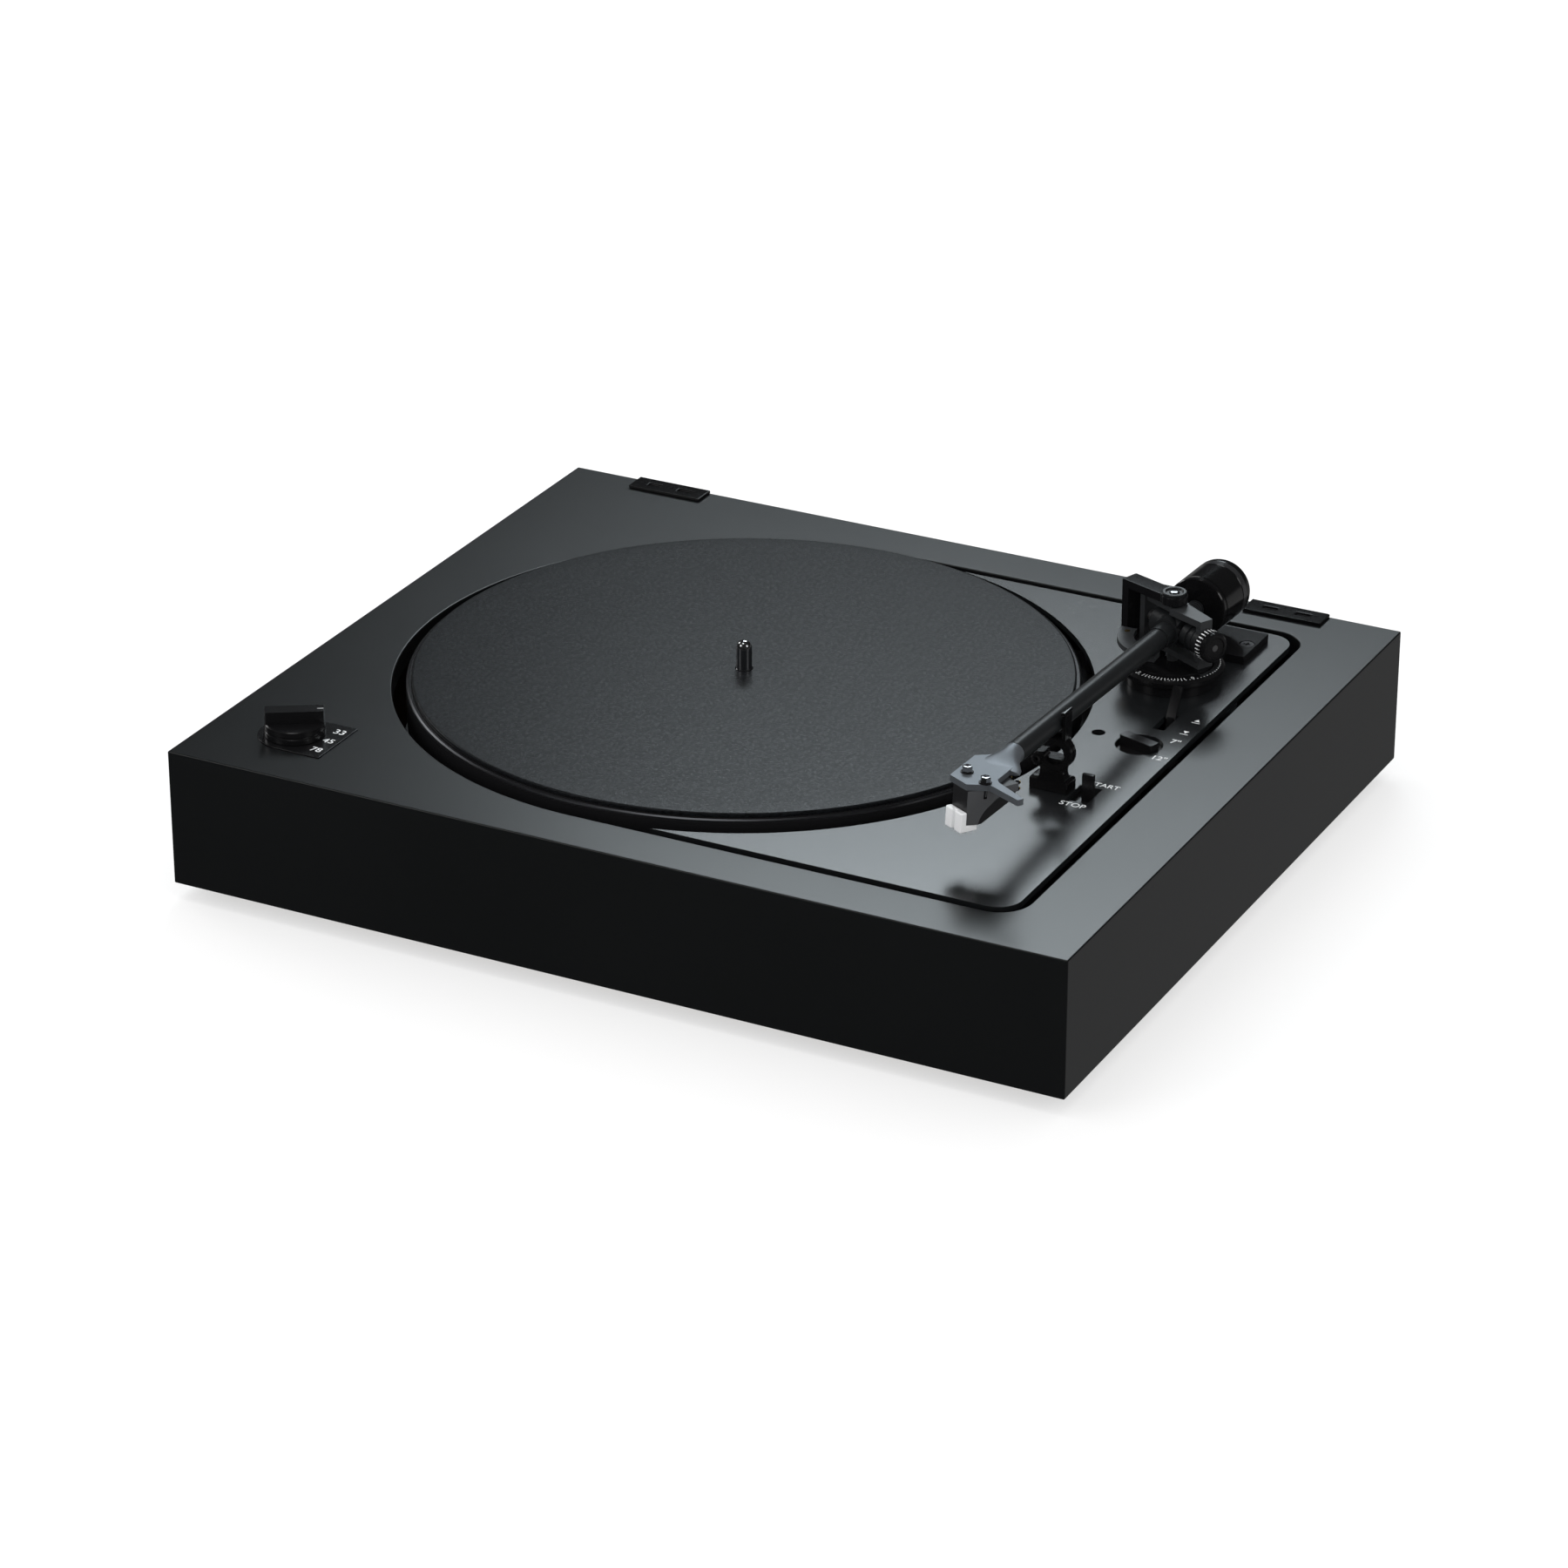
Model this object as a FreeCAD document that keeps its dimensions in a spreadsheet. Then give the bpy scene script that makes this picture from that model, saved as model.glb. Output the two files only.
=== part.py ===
"""Belt-drive record player: plinth, floating chassis, platter and gimballed tonearm.

Millimetres, +Z up. The origin is under the middle of the plinth, on the surface it stands on.
-Y is the front, where the speed knob is; the tonearm is on the +X side.
Every driving dimension is a cell of the sheet "sizes"; the features are bound to those cells.
"""
import FreeCAD
import Part
import Sketcher
import math
import os
import re
from FreeCAD import Placement, Rotation, Vector

sizes = {
    # plinth
    "plinthWide": 430, "plinthDeep": 365, "plinthTall": 64, "topThick": 10, "wallThick": 14,
    "edgeRound": 1, "footTall": 8, "footRadius": 16, "footInset": 42, "coverThick": 4, "coverGap": 0.5,
    "screwRadius": 2,
    "cutoutGap": 6.3, "cutoutReach": 207.8, "cutoutRound": 15,
    # floating chassis
    "panelGap": 4.3, "panelThick": 3, "panelRound": 11, "panelHoleGap": 6,
    "panDrop": 28, "panThick": 2, "postRadius": 5, "springRadius": 9, "springWire": 1.2, "springTurns": 6,
    "springInset": 26,
    # platter, mat and bearing
    "platterX": -27.5, "platterRadius": 151, "platterRise": 3, "platterTall": 19, "rimThick": 6,
    "webThick": 5, "rimBevel": 1.2, "driveRadius": 84, "driveWall": 4, "driveTall": 24, "hubRadius": 16,
    "feltRadius": 148.5, "feltThick": 2, "spindleRadius": 3.57, "spindleRise": 13.5, "spindleTaper": 4,
    "spindleBase": 3.75, "spindleFree": 0.3,
    "shaftRadius": 5, "shaftFit": 0.05, "sleeveRadius": 9, "sleeveTall": 30, "ballRadius": 2.5,
    # drive
    "pulleyX": -112, "pulleyY": -72, "pulleyRadius": 9, "pulleyTall": 9, "pulleyLift": 1.9,
    "beltWide": 5, "beltThick": 0.8,
    "beltGap": 0.2, "motorRadius": 19, "motorTall": 22, "motorShaft": 1.5,
    "pinionTeeth": 12, "camTeeth": 44, "toothPitch": 4.4, "gearThick": 4, "camAxle": 3,
    # tonearm base and bearing
    "pivotX": 142.5, "pivotY": 87.5, "pivotRise": 25.5, "bearingTurn": 28, "bridgeTurn": 20,
    "columnRadius": 18.2, "columnTall": 9.5, "dialRadius": 23.5, "dialTall": 4.1, "dialGap": 0.3,
    "baseWide": 46, "baseDeep": 56.5, "baseThick": 4, "baseStep": 28,
    "swivelRadius": 2.5, "swivelFit": 0.06, "bridgeReach": 28, "bridgeThick": 4, "bridgeWide": 9,
    "bridgeTop": 41.2, "capRadius": 6, "capTall": 1.4,
    "gimbalReach": 23, "gimbalLeft": 19, "gimbalTop": 36.5, "gimbalFloor": 13.8, "gimbalWall": 3.2,
    "pinRadius": 1.5, "pinFit": 0.06, "drumRadius": 5.6, "drumStart": 11.2,
    "knobRadius": 6.4, "knobLong": 6.5, "knobGap": 0.4,
    # tonearm, in its own frame: pivot at the origin, tube along -Y
    "restTilt": 3.17, "tubeRadius": 4.75, "tubeWall": 0.6, "tubeLong": 168, "tubeTail": 14, "tubeFit": 0.03,
    "collarRadius": 7, "collarWide": 18, "pinDeep": 2.6, "sleeveLong": 18, "stubRadius": 4, "stubLong": 54,
    "weightRadius": 14, "weightStart": 25, "weightLong": 32, "weightFit": 0.06, "weightRound": 2,
    # headshell, in its own frame: between the bolts at the origin, front along -Y
    "headSide": -1.65, "headReach": 201.8, "headLeft": 12.1, "headRight": 6.8, "headBack": 181,
    "headFront": 7.8, "headThick": 2.8, "headRise": 1, "boltPitch": 12.7, "boltRadius": 1.25,
    "boltHead": 2.1, "boltFit": 0.15, "fingerLong": 27, "bodyTall": 15.5, "bodyWide": 16.6, "bodyNose": 10,
    "bodyBack": 16, "stylusWide": 11.2, "stylusTall": 9, "stylusDrop": 3,
    # arm rest and its turn button
    "restY": -39.5, "restGap": 0.3, "restWide": 18, "restDeep": 9, "restFoot": 5, "ringOuter": 8,
    "ringInner": 4.8, "fenceThick": 1.6, "fenceTall": 37, "fenceGap": 0.8, "buttonThick": 1.5,
    # cue lever and lift
    "cueX": 158.7, "cueY": 43.7, "cueSwing": 15, "cueDrop": 22, "cueWide": 4.4, "cueThick": 1.3,
    "cueRise": 15, "cuePin": 2, "slotGap": 0.6, "slotLong": 16.4,
    "liftRadius": 25, "liftInner": 17.5, "liftThick": 2.5,
    "liftTop": 20.6, "liftStem": 2, "stemReach": 14.5, "stemAngle": 215, "stemFit": 0.08, "stemDrop": 16,
    "damperRadius": 4.4, "damperTall": 19,
    # start lever, size selector, speed knob
    "startX": 157, "startY": -39.3, "startWide": 10.2, "startLong": 16, "startRise": 10, "startTravel": 5.5,
    "tabWide": 5.6, "tabThick": 2.2,
    "sizeX": 157.7, "sizeY": 17.2, "sizeRadius": 10.5, "sizeBar": 5.6, "sizeRise": 3, "sizeTurn": -17,
    "speedX": -174.5, "speedY": -142.5, "speedRadius": 13.5, "skirtTall": 6, "gripTall": 6, "gripWide": 7,
    "speedTurn": 31, "labelThick": 0.6, "shaftSlim": 3, "slimFit": 0.06,
    "holeX": 136.8, "holeY": 20.6, "holeRadius": 3,
    # lid hinge sockets and the back panel
    "socketWide": 38.5, "socketDeep": 12, "socketTall": 1.6, "socketLeft": -180, "socketRight": 141.5,
    "windowX": -20, "windowWide": 86, "windowTall": 30, "jackRadius": 4.15, "jackLong": 9, "jackPitch": 16,
    "inletRadius": 2.8,
}

doc = FreeCAD.newDocument("record_player")
sheet = doc.addObject("Spreadsheet::Sheet", "sizes")
for row, (alias, number) in enumerate(sizes.items(), start=1):
    sheet.set(f"A{row}", alias)
    sheet.set(f"B{row}", str(number))
    sheet.setAlias(f"B{row}", alias)
doc.recompute()

deck = "(footTall + plinthTall)"


def read(alias):
    """The number in the sheet's cell of that name."""
    return float(sheet.get(alias))


deckZ = read("footTall") + read("plinthTall")
nodes = {}          # file name -> document object


# ---------------------------------------------------------------- helpers
def cells(text):
    """Turn the size names in a formula into references to the sheet."""
    return re.sub(r"[A-Za-z]\w*", lambda word: "sizes." + word[0] if word[0] in sizes else word[0], str(text))


def bind(thing, **formulas):
    for name, text in formulas.items():
        thing.setExpression(name, cells(text))
    return thing


def move(thing, x=0, y=0, z=0):
    for letter, text in zip("xyz", (x, y, z)):
        thing.setExpression("Placement.Base." + letter, cells(text))
    return thing


def box(length, width, height, x=0, y=0, z=0):
    """A block with its low corner at x, y, z."""
    thing = doc.addObject("Part::Box", "block")
    return move(bind(thing, Length=length, Width=width, Height=height), x, y, z)


def slab(length, width, height, x=0, y=0, z=0):
    """A block centred on x and y, standing on z."""
    return box(length, width, height, f"{x} - ({length}) / 2", f"{y} - ({width}) / 2", z)


turned = {"z": Rotation(), "x": Rotation(Vector(0, 1, 0), 90), "y": Rotation(Vector(1, 0, 0), -90)}


def rod(radius, long, x=0, y=0, z=0, along="z"):
    """A round bar that starts at x, y, z and runs along one axis."""
    thing = doc.addObject("Part::Cylinder", "rod")
    thing.Placement = Placement(Vector(), turned[along])
    return move(bind(thing, Radius=radius, Height=long), x, y, z)


def taper(low, high, tall, x=0, y=0, z=0, along="z"):
    thing = doc.addObject("Part::Cone", "taper")
    thing.Placement = Placement(Vector(), turned[along])
    return move(bind(thing, Radius1=low, Radius2=high, Height=tall), x, y, z)


def fuse(*parts):
    if len(parts) == 1:
        return parts[0]
    thing = doc.addObject("Part::MultiFuse", "joined")
    thing.Shapes = list(parts)
    thing.Refine = True
    return thing


def cut(base, *tools):
    thing = doc.addObject("Part::Cut", "cut")
    thing.Base = base
    thing.Tool = fuse(*tools)
    thing.Refine = True
    return thing


def group(*parts):
    """Identical or paired loose pieces kept as separate solids of one node."""
    thing = doc.addObject("Part::Compound", "set")
    thing.Links = list(parts)
    return thing


def newBody():
    return doc.addObject("PartDesign::Body", "body")


def sketchOn(body, role="XY_Plane", lift=0):
    sketch = body.newObject("Sketcher::SketchObject", "sketch")
    plane = next(f for f in body.Origin.OriginFeatures if f.Role == role)
    sketch.AttachmentSupport = [(plane, "")]
    sketch.MapMode = "FlatFace"
    sketch.setExpression("AttachmentOffset.Base.z", cells(lift))
    return sketch


def pin(sketch, kind, point, text):
    index = sketch.addConstraint(Sketcher.Constraint(kind, *point, 1.0))
    sketch.setExpression(f"Constraints[{index}]", cells(text))


def circle(sketch, radius, x=0, y=0):
    index = sketch.addGeometry(Part.Circle(Vector(1, 1, 0), Vector(0, 0, 1), 5), False)
    pin(sketch, "DistanceX", (-1, 1, index, 3), x)
    pin(sketch, "DistanceY", (-1, 1, index, 3), y)
    pin(sketch, "Radius", (index,), radius)


def outline(sketch, points):
    """A closed outline of straight edges; every corner is held by two formulas."""
    first = sketch.GeometryCount
    count = len(points)
    turn = math.tau / count
    ring = [Vector(math.cos(turn * i), math.sin(turn * i), 0) * 10 for i in range(count)]
    for i in range(count):
        sketch.addGeometry(Part.LineSegment(ring[i], ring[(i + 1) % count]), False)
    for i in range(count):
        after = first + (i + 1) % count
        sketch.addConstraint(Sketcher.Constraint("Coincident", first + i, 2, after, 1))
    for i, (x, y) in enumerate(points):
        pin(sketch, "DistanceX", (-1, 1, first + i, 1), x)
        pin(sketch, "DistanceY", (-1, 1, first + i, 1), y)


def rectangle(sketch, left, right, low, high):
    outline(sketch, [(left, low), (right, low), (right, high), (left, high)])


def pad(body, sketch, length):
    feature = body.newObject("PartDesign::Pad", "pad")
    feature.Profile = sketch
    return bind(feature, Length=length)


def pocket(body, sketch, depth):
    """Cuts down from the sketch, so the sketch lies on the upper face."""
    feature = body.newObject("PartDesign::Pocket", "pocket")
    feature.Profile = sketch
    return bind(feature, Length=depth)


def revolve(body, sketch):
    feature = body.newObject("PartDesign::Revolution", "turned")
    feature.Profile = sketch
    feature.ReferenceAxis = (sketch, ["V_Axis"])
    feature.Angle = 360
    return feature


def roundEdges(body, feature, radius, wanted, kind="Fillet"):
    """Rounds or chamfers the edges of a feature for which wanted(edge) is true."""
    doc.recompute()
    names = [f"Edge{i}" for i, edge in enumerate(feature.Shape.Edges, start=1) if wanted(edge)]
    dressing = body.newObject("PartDesign::" + kind, kind.lower())
    dressing.Base = (feature, names)
    bind(dressing, **{"Radius" if kind == "Fillet" else "Size": radius})
    return dressing


def upright(edge):
    low, high = edge.Vertexes[0].Point, edge.Vertexes[-1].Point
    return abs(low.x - high.x) < 1e-4 and abs(low.y - high.y) < 1e-4 and abs(low.z - high.z) > 0.1


def atHeight(z):
    return lambda edge: abs(edge.BoundBox.ZMin - z) < 1e-3 and abs(edge.BoundBox.ZMax - z) < 1e-3


def keep(name, thing, frame=None):
    thing.Label = name
    if frame is not None:
        thing.Placement = frame
    nodes[name] = thing
    return thing


# ---------------------------------------------------------------- plinth
def buildPlinth():
    """A top board with the D-shaped cutout, four walls and a bottom cover."""
    body = newBody()
    sketch = sketchOn(body, lift=f"{deck} - topThick")
    rectangle(sketch, "-plinthWide / 2", "plinthWide / 2", "-plinthDeep / 2", "plinthDeep / 2")
    pad(body, sketch, "topThick")
    half = "(platterRadius + cutoutGap)"
    well = sketchOn(body, lift=deck)
    circle(well, half, "platterX")
    pocket(body, well, "topThick")
    square = sketchOn(body, lift=deck)
    rectangle(square, "platterX", "platterX + cutoutReach", f"-{half}", half)
    cutout = pocket(body, square, "topThick")
    rightEdge = read("platterX") + read("cutoutReach")
    roundEdges(body, cutout, "cutoutRound",
               lambda e: upright(e) and abs(e.Vertexes[0].X - rightEdge) < 1e-3)
    knobHole = sketchOn(body, lift=deck)
    circle(knobHole, "shaftSlim + 0.4", "speedX", "speedY")
    pocket(body, knobHole, "topThick")
    keep("plinth_top", body)

    wallTall = "plinthTall - topThick"
    inner = "(plinthDeep - 2 * wallThick)"
    left = "-plinthWide / 2"
    keep("plinth_front", box("plinthWide", "wallThick", wallTall, left, "-plinthDeep / 2", "footTall"))
    back = box("plinthWide", "wallThick", wallTall, left, "plinthDeep / 2 - wallThick", "footTall")
    window = slab("windowWide", "2 * wallThick", "windowTall", "windowX", "plinthDeep / 2 - wallThick / 2",
                  "footTall + 14")
    keep("plinth_back", cut(back, window))
    keep("plinth_left", box("wallThick", inner, wallTall, left, f"-{inner} / 2", "footTall"))
    keep("plinth_right", box("wallThick", inner, wallTall, "plinthWide / 2 - wallThick", f"-{inner} / 2",
                             "footTall"))
    cover = slab("plinthWide - 2 * (wallThick + coverGap)", f"{inner} - 2 * coverGap", "coverThick",
                 z="footTall")
    screwHoles = [rod("screwRadius + 0.2", "coverThick", x, y, "footTall") for x, y in footPlaces()]
    keep("bottom_cover", cut(cover, *screwHoles))


def footPlaces():
    return [(f"{sx} * (plinthWide / 2 - footInset)", f"{sy} * (plinthDeep / 2 - footInset)")
            for sx in (-1, 1) for sy in (-1, 1)]


def buildFeet():
    """Four turned rubber feet, each held by a screw that goes up into the cover."""
    feet, screws = [], []
    for x, y in footPlaces():
        foot = fuse(taper("footRadius - 2", "footRadius", "2", x, y),
                    rod("footRadius", "footTall - 2", x, y, 2))
        feet.append(cut(foot, rod("footRadius / 2.5", "footTall / 2", x, y),
                        rod("screwRadius + 0.2", "footTall", x, y)))
        head = rod("footRadius / 2.5 - 1", "2", x, y, "footTall / 2 - 2")
        screws.append(fuse(head, rod("screwRadius", "footTall / 2 + coverThick", x, y, "footTall / 2")))
    keep("rubber_feet", group(*feet))
    keep("foot_screws", group(*screws))


# ---------------------------------------------------------------- floating chassis
panTop = f"({deck} - panDrop)"
postPlaces = [("pivotX + 22", "-110"), ("pivotX + 22", "-8"), ("pivotX + 22", "125"),
              ("platterX + 112", "136"), ("platterX + 112", "-136")]


def buildChassis():
    """The pan under the platter, the panel that lies flush with the top, posts and springs."""
    half = "(platterRadius + cutoutGap - panelGap)"
    disc = rod(half, "panThick", "platterX", 0, f"{panTop} - panThick")
    tray = box("cutoutReach - panelGap", f"2 * {half}", "panThick",
               "platterX", f"-{half}", f"{panTop} - panThick")
    posts = [rod("postRadius", "panDrop - panelThick", x, y, panTop) for x, y in postPlaces]
    holes = [rod("sleeveRadius + 0.1", "3 * panThick", "platterX", 0, f"{panTop} - 2 * panThick"),
             rod("motorShaft + 2", "3 * panThick", "pulleyX", "pulleyY", f"{panTop} - 2 * panThick")]
    keep("chassis_pan", cut(fuse(disc, tray, *posts), *holes))

    body = newBody()
    sketch = sketchOn(body, lift=f"{deck} - panelThick")
    rectangle(sketch, "platterX + 20", "platterX + cutoutReach - panelGap", f"-{half}", half)
    plate = pad(body, sketch, "panelThick")
    edge = read("platterX") + read("cutoutReach") - read("panelGap")
    roundEdges(body, plate, "panelRound", lambda e: upright(e) and abs(e.Vertexes[0].X - edge) < 1e-3)
    openings = sketchOn(body, lift=deck)
    circle(openings, "platterRadius + panelHoleGap", "platterX")
    pocket(body, openings, "panelThick")
    small = sketchOn(body, lift=deck)
    circle(small, "holeRadius", "holeX", "holeY")
    circle(small, "sizeRadius", "sizeX", "sizeY")
    circle(small, "columnRadius - 1", "pivotX", "pivotY")
    rectangle(small, "startX - startWide / 2", "startX + startWide / 2",
              "startY - startLong / 2", "startY + startLong / 2")
    rectangle(small, "cueX - cueWide / 2 - slotGap", "cueX + cueWide / 2 + slotGap",
              "cueY - slotLong / 2", "cueY + slotLong / 2")
    pocket(body, small, "panelThick")
    keep("arm_panel", body)

    springs = []
    bottom, top = read("footTall") + read("coverThick"), deckZ - read("panDrop") - read("panThick")
    half = read("platterRadius") + read("cutoutGap") - read("springInset")
    right = read("platterX") + read("cutoutReach") - read("springInset")
    left = read("platterX") - read("platterRadius") / 2
    wire, radius = read("springWire"), read("springRadius")
    tall = top - bottom - 2 * wire - 0.1
    coil = Part.makeHelix(tall / read("springTurns"), tall, radius)
    profile = Part.Wire(Part.Circle(Vector(radius, 0, 0), Vector(0, 1, 0), wire).toShape())
    solid = Part.Wire(coil.Edges).makePipeShell([profile], True, True)
    for x, y in ((right, half), (right, -half), (left, 0.9 * half), (left, -0.9 * half)):
        one = solid.copy()
        one.translate(Vector(x, y, bottom + wire + 0.05))
        springs.append(one)
    thing = doc.addObject("Part::Feature", "springs")
    thing.Shape = Part.makeCompound(springs)
    keep("suspension_springs", thing)


# ---------------------------------------------------------------- platter and bearing
def buildPlatter():
    """Die-cast platter with a drive ring underneath, felt mat, spindle and its bearing."""
    top = f"({deck} + platterRise)"
    low = f"({top} - platterTall)"
    web = f"({top} - webThick)"
    ring = f"({top} - driveTall)"
    bore = "(shaftRadius + shaftFit)"
    body = newBody()
    profile = sketchOn(body, "XZ_Plane")
    outline(profile, [
        ("spindleBase + shaftFit", top), ("platterRadius - rimBevel", top),
        ("platterRadius", f"{top} - rimBevel"),
        ("platterRadius", low), ("platterRadius - rimThick", low), ("platterRadius - rimThick", web),
        ("driveRadius", web), ("driveRadius", ring), ("driveRadius - driveWall", ring),
        ("driveRadius - driveWall", web), ("hubRadius", web), ("hubRadius", f"{web} - 12"),
        (bore, f"{web} - 12"), (bore, f"{top} - 3"), ("spindleBase + shaftFit", f"{top} - 3")])
    revolve(body, profile)
    keep("platter", move(body, "platterX"))

    mat = newBody()
    sheetSketch = sketchOn(mat, lift=top)
    circle(sheetSketch, "feltRadius")
    circle(sheetSketch, "spindleBase + 0.3")
    felt = pad(mat, sheetSketch, "feltThick")
    outer = read("feltRadius")
    topZ = deckZ + read("platterRise") + read("feltThick")
    roundEdges(mat, felt, "feltThick / 4",
               lambda e: atHeight(topZ)(e) and abs(e.BoundBox.XMax - outer) < 1e-3)
    keep("felt_mat", move(mat, "platterX"))

    tip = f"({top} + feltThick + spindleRise)"
    foot = f"({panTop} + 6 - sleeveTall + ballRadius * 2 + 2)"
    shaft = newBody()
    side = sketchOn(shaft, "XZ_Plane")
    seat = f"({top} + feltThick + spindleFree)"
    outline(side, [(0, foot), ("shaftRadius", foot), ("shaftRadius", f"{top} - 3 - shaftFit"),
                   ("spindleBase", f"{top} - 3 - shaftFit"), ("spindleBase", seat), ("spindleRadius", seat),
                   ("spindleRadius", f"{tip} - spindleTaper"),
                   ("spindleRadius * 0.82", f"{tip} - spindleTaper / 3"), ("spindleRadius * 0.42", tip),
                   (0, tip)])
    revolve(shaft, side)
    keep("spindle", move(shaft, "platterX"))

    low = f"({panTop} + 6 - sleeveTall)"
    sleeve = fuse(rod("sleeveRadius", "sleeveTall", "platterX", 0, low),
                  rod("sleeveRadius + 7", "2.5", "platterX", 0, panTop))
    keep("bearing_sleeve", cut(sleeve, rod(bore, "sleeveTall", "platterX", 0, f"{low} + 2")))
    ball = doc.addObject("Part::Sphere", "ball")
    move(bind(ball, Radius="ballRadius"), "platterX", 0, f"{low} + 2 + ballRadius")
    keep("thrust_ball", ball)


def gear(teeth, count, bore, z):
    """A spur gear with count of its teeth in place, going round from the X axis."""
    pitchRadius = f"(toothPitch * {teeth} / 6.28319)"
    body = newBody()
    blank = sketchOn(body, lift=z)
    circle(blank, f"{pitchRadius} - toothPitch * 0.36")
    circle(blank, bore)
    pad(body, blank, "gearThick")
    sketch = sketchOn(body, lift=z)
    root, tip = f"({pitchRadius} - toothPitch * 0.5)", f"({pitchRadius} + toothPitch * 0.28)"
    outline(sketch, [(root, "-toothPitch * 0.27"), (tip, "-toothPitch * 0.11"), (tip, "toothPitch * 0.11"),
                     (root, "toothPitch * 0.27")])
    tooth = pad(body, sketch, "gearThick")
    pattern = body.newObject("PartDesign::PolarPattern", "teeth")
    pattern.Originals = [tooth]
    pattern.Axis = (sketch, ["N_Axis"])
    bind(pattern, Angle=f"360 * {count - 1} / {teeth}")
    pattern.Occurrences = int(count)
    body.Tip = pattern
    return body


def buildDrive():
    """Motor under the pan, pulley and flat belt, and the cam wheel of the automatic."""
    under = f"({panTop} - panThick - motorTall)"
    keep("motor", fuse(rod("motorRadius", "motorTall", "pulleyX", "pulleyY", under),
                       slab("2 * motorRadius + 16", "motorRadius", "1.5", "pulleyX", "pulleyY",
                            f"{panTop} - panThick - 1.5"),
                       rod("motorShaft", "motorTall + pulleyTall + 2", "pulleyX", "pulleyY", under)))
    body = newBody()
    side = sketchOn(body, "XZ_Plane")
    outline(side, [("motorShaft + 0.02", 0), ("pulleyRadius + 1.5", 0), ("pulleyRadius + 1.5", 1),
                   ("pulleyRadius", 1.6), ("pulleyRadius", "pulleyTall - 1.6"),
                   ("pulleyRadius + 1.5", "pulleyTall - 1"), ("pulleyRadius + 1.5", "pulleyTall"),
                   ("motorShaft + 0.02", "pulleyTall")])
    revolve(body, side)
    keep("motor_pulley", move(body, "pulleyX", "pulleyY", f"{panTop} + pulleyLift"))

    big, small = read("driveRadius") + read("beltGap"), read("pulleyRadius") + read("beltGap")
    x, y = read("pulleyX") - read("platterX"), read("pulleyY")
    low = deckZ - read("panDrop") + read("pulleyLift") + (read("pulleyTall") - read("beltWide")) / 2
    thing = doc.addObject("Part::Feature", "belt")
    thick = read("beltThick")
    thing.Shape = loop(big + thick, small + thick, x, y).cut(loop(big, small, x, y))
    keep("drive_belt", thing, Placement(Vector(read("platterX"), 0, low), Rotation()))

    gearZ = f"({panTop} + 7)"
    keep("spindle_pinion", move(gear("pinionTeeth", read("pinionTeeth"), "shaftRadius + 0.05", gearZ),
                                "platterX"))
    cam = gear("camTeeth", read("camTeeth") - 4, "camAxle + 0.06", gearZ)
    cam.Placement = Placement(Vector(), Rotation(Vector(0, 0, 1), 60 + 2.5 * 360 / read("camTeeth")))
    reach = "(toothPitch * (pinionTeeth + camTeeth) / 6.28319 + 0.4)"
    camX, camY = f"platterX - {reach} * cos(60)", f"-{reach} * sin(60)"
    keep("cam_wheel", move(cam, camX, camY))
    axle = fuse(rod("camAxle", "14", camX, camY, panTop), rod("camAxle + 4", "6.6", camX, camY, panTop))
    keep("cam_axle", axle)


def loop(big, small, x, y):
    """The solid inside a belt that runs round a big wheel at the origin and a small one at x, y."""
    gap = math.hypot(x, y)
    lean = math.atan2(y, x)
    spread = math.acos((big - small) / gap)
    touch = [Vector(math.cos(lean + s * spread), math.sin(lean + s * spread), 0) for s in (-1, 1)]
    centre = Vector(x, y, 0)
    near, far = Vector(math.cos(lean), math.sin(lean), 0), Vector(-math.cos(lean), -math.sin(lean), 0)
    edges = [Part.Arc(touch[1] * big, far * big, touch[0] * big).toShape(),
             Part.LineSegment(touch[0] * big, centre + touch[0] * small).toShape(),
             Part.Arc(centre + touch[0] * small, centre + near * small, centre + touch[1] * small).toShape(),
             Part.LineSegment(centre + touch[1] * small, touch[1] * big).toShape()]
    return Part.Face(Part.Wire(edges)).extrude(Vector(0, 0, read("beltWide")))


# ---------------------------------------------------------------- tonearm base and bearing
def turnedFrame(z, angle):
    base = Vector(read("pivotX"), read("pivotY"), z)
    return Placement(base, Rotation(Vector(0, 0, 1), -angle))


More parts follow.
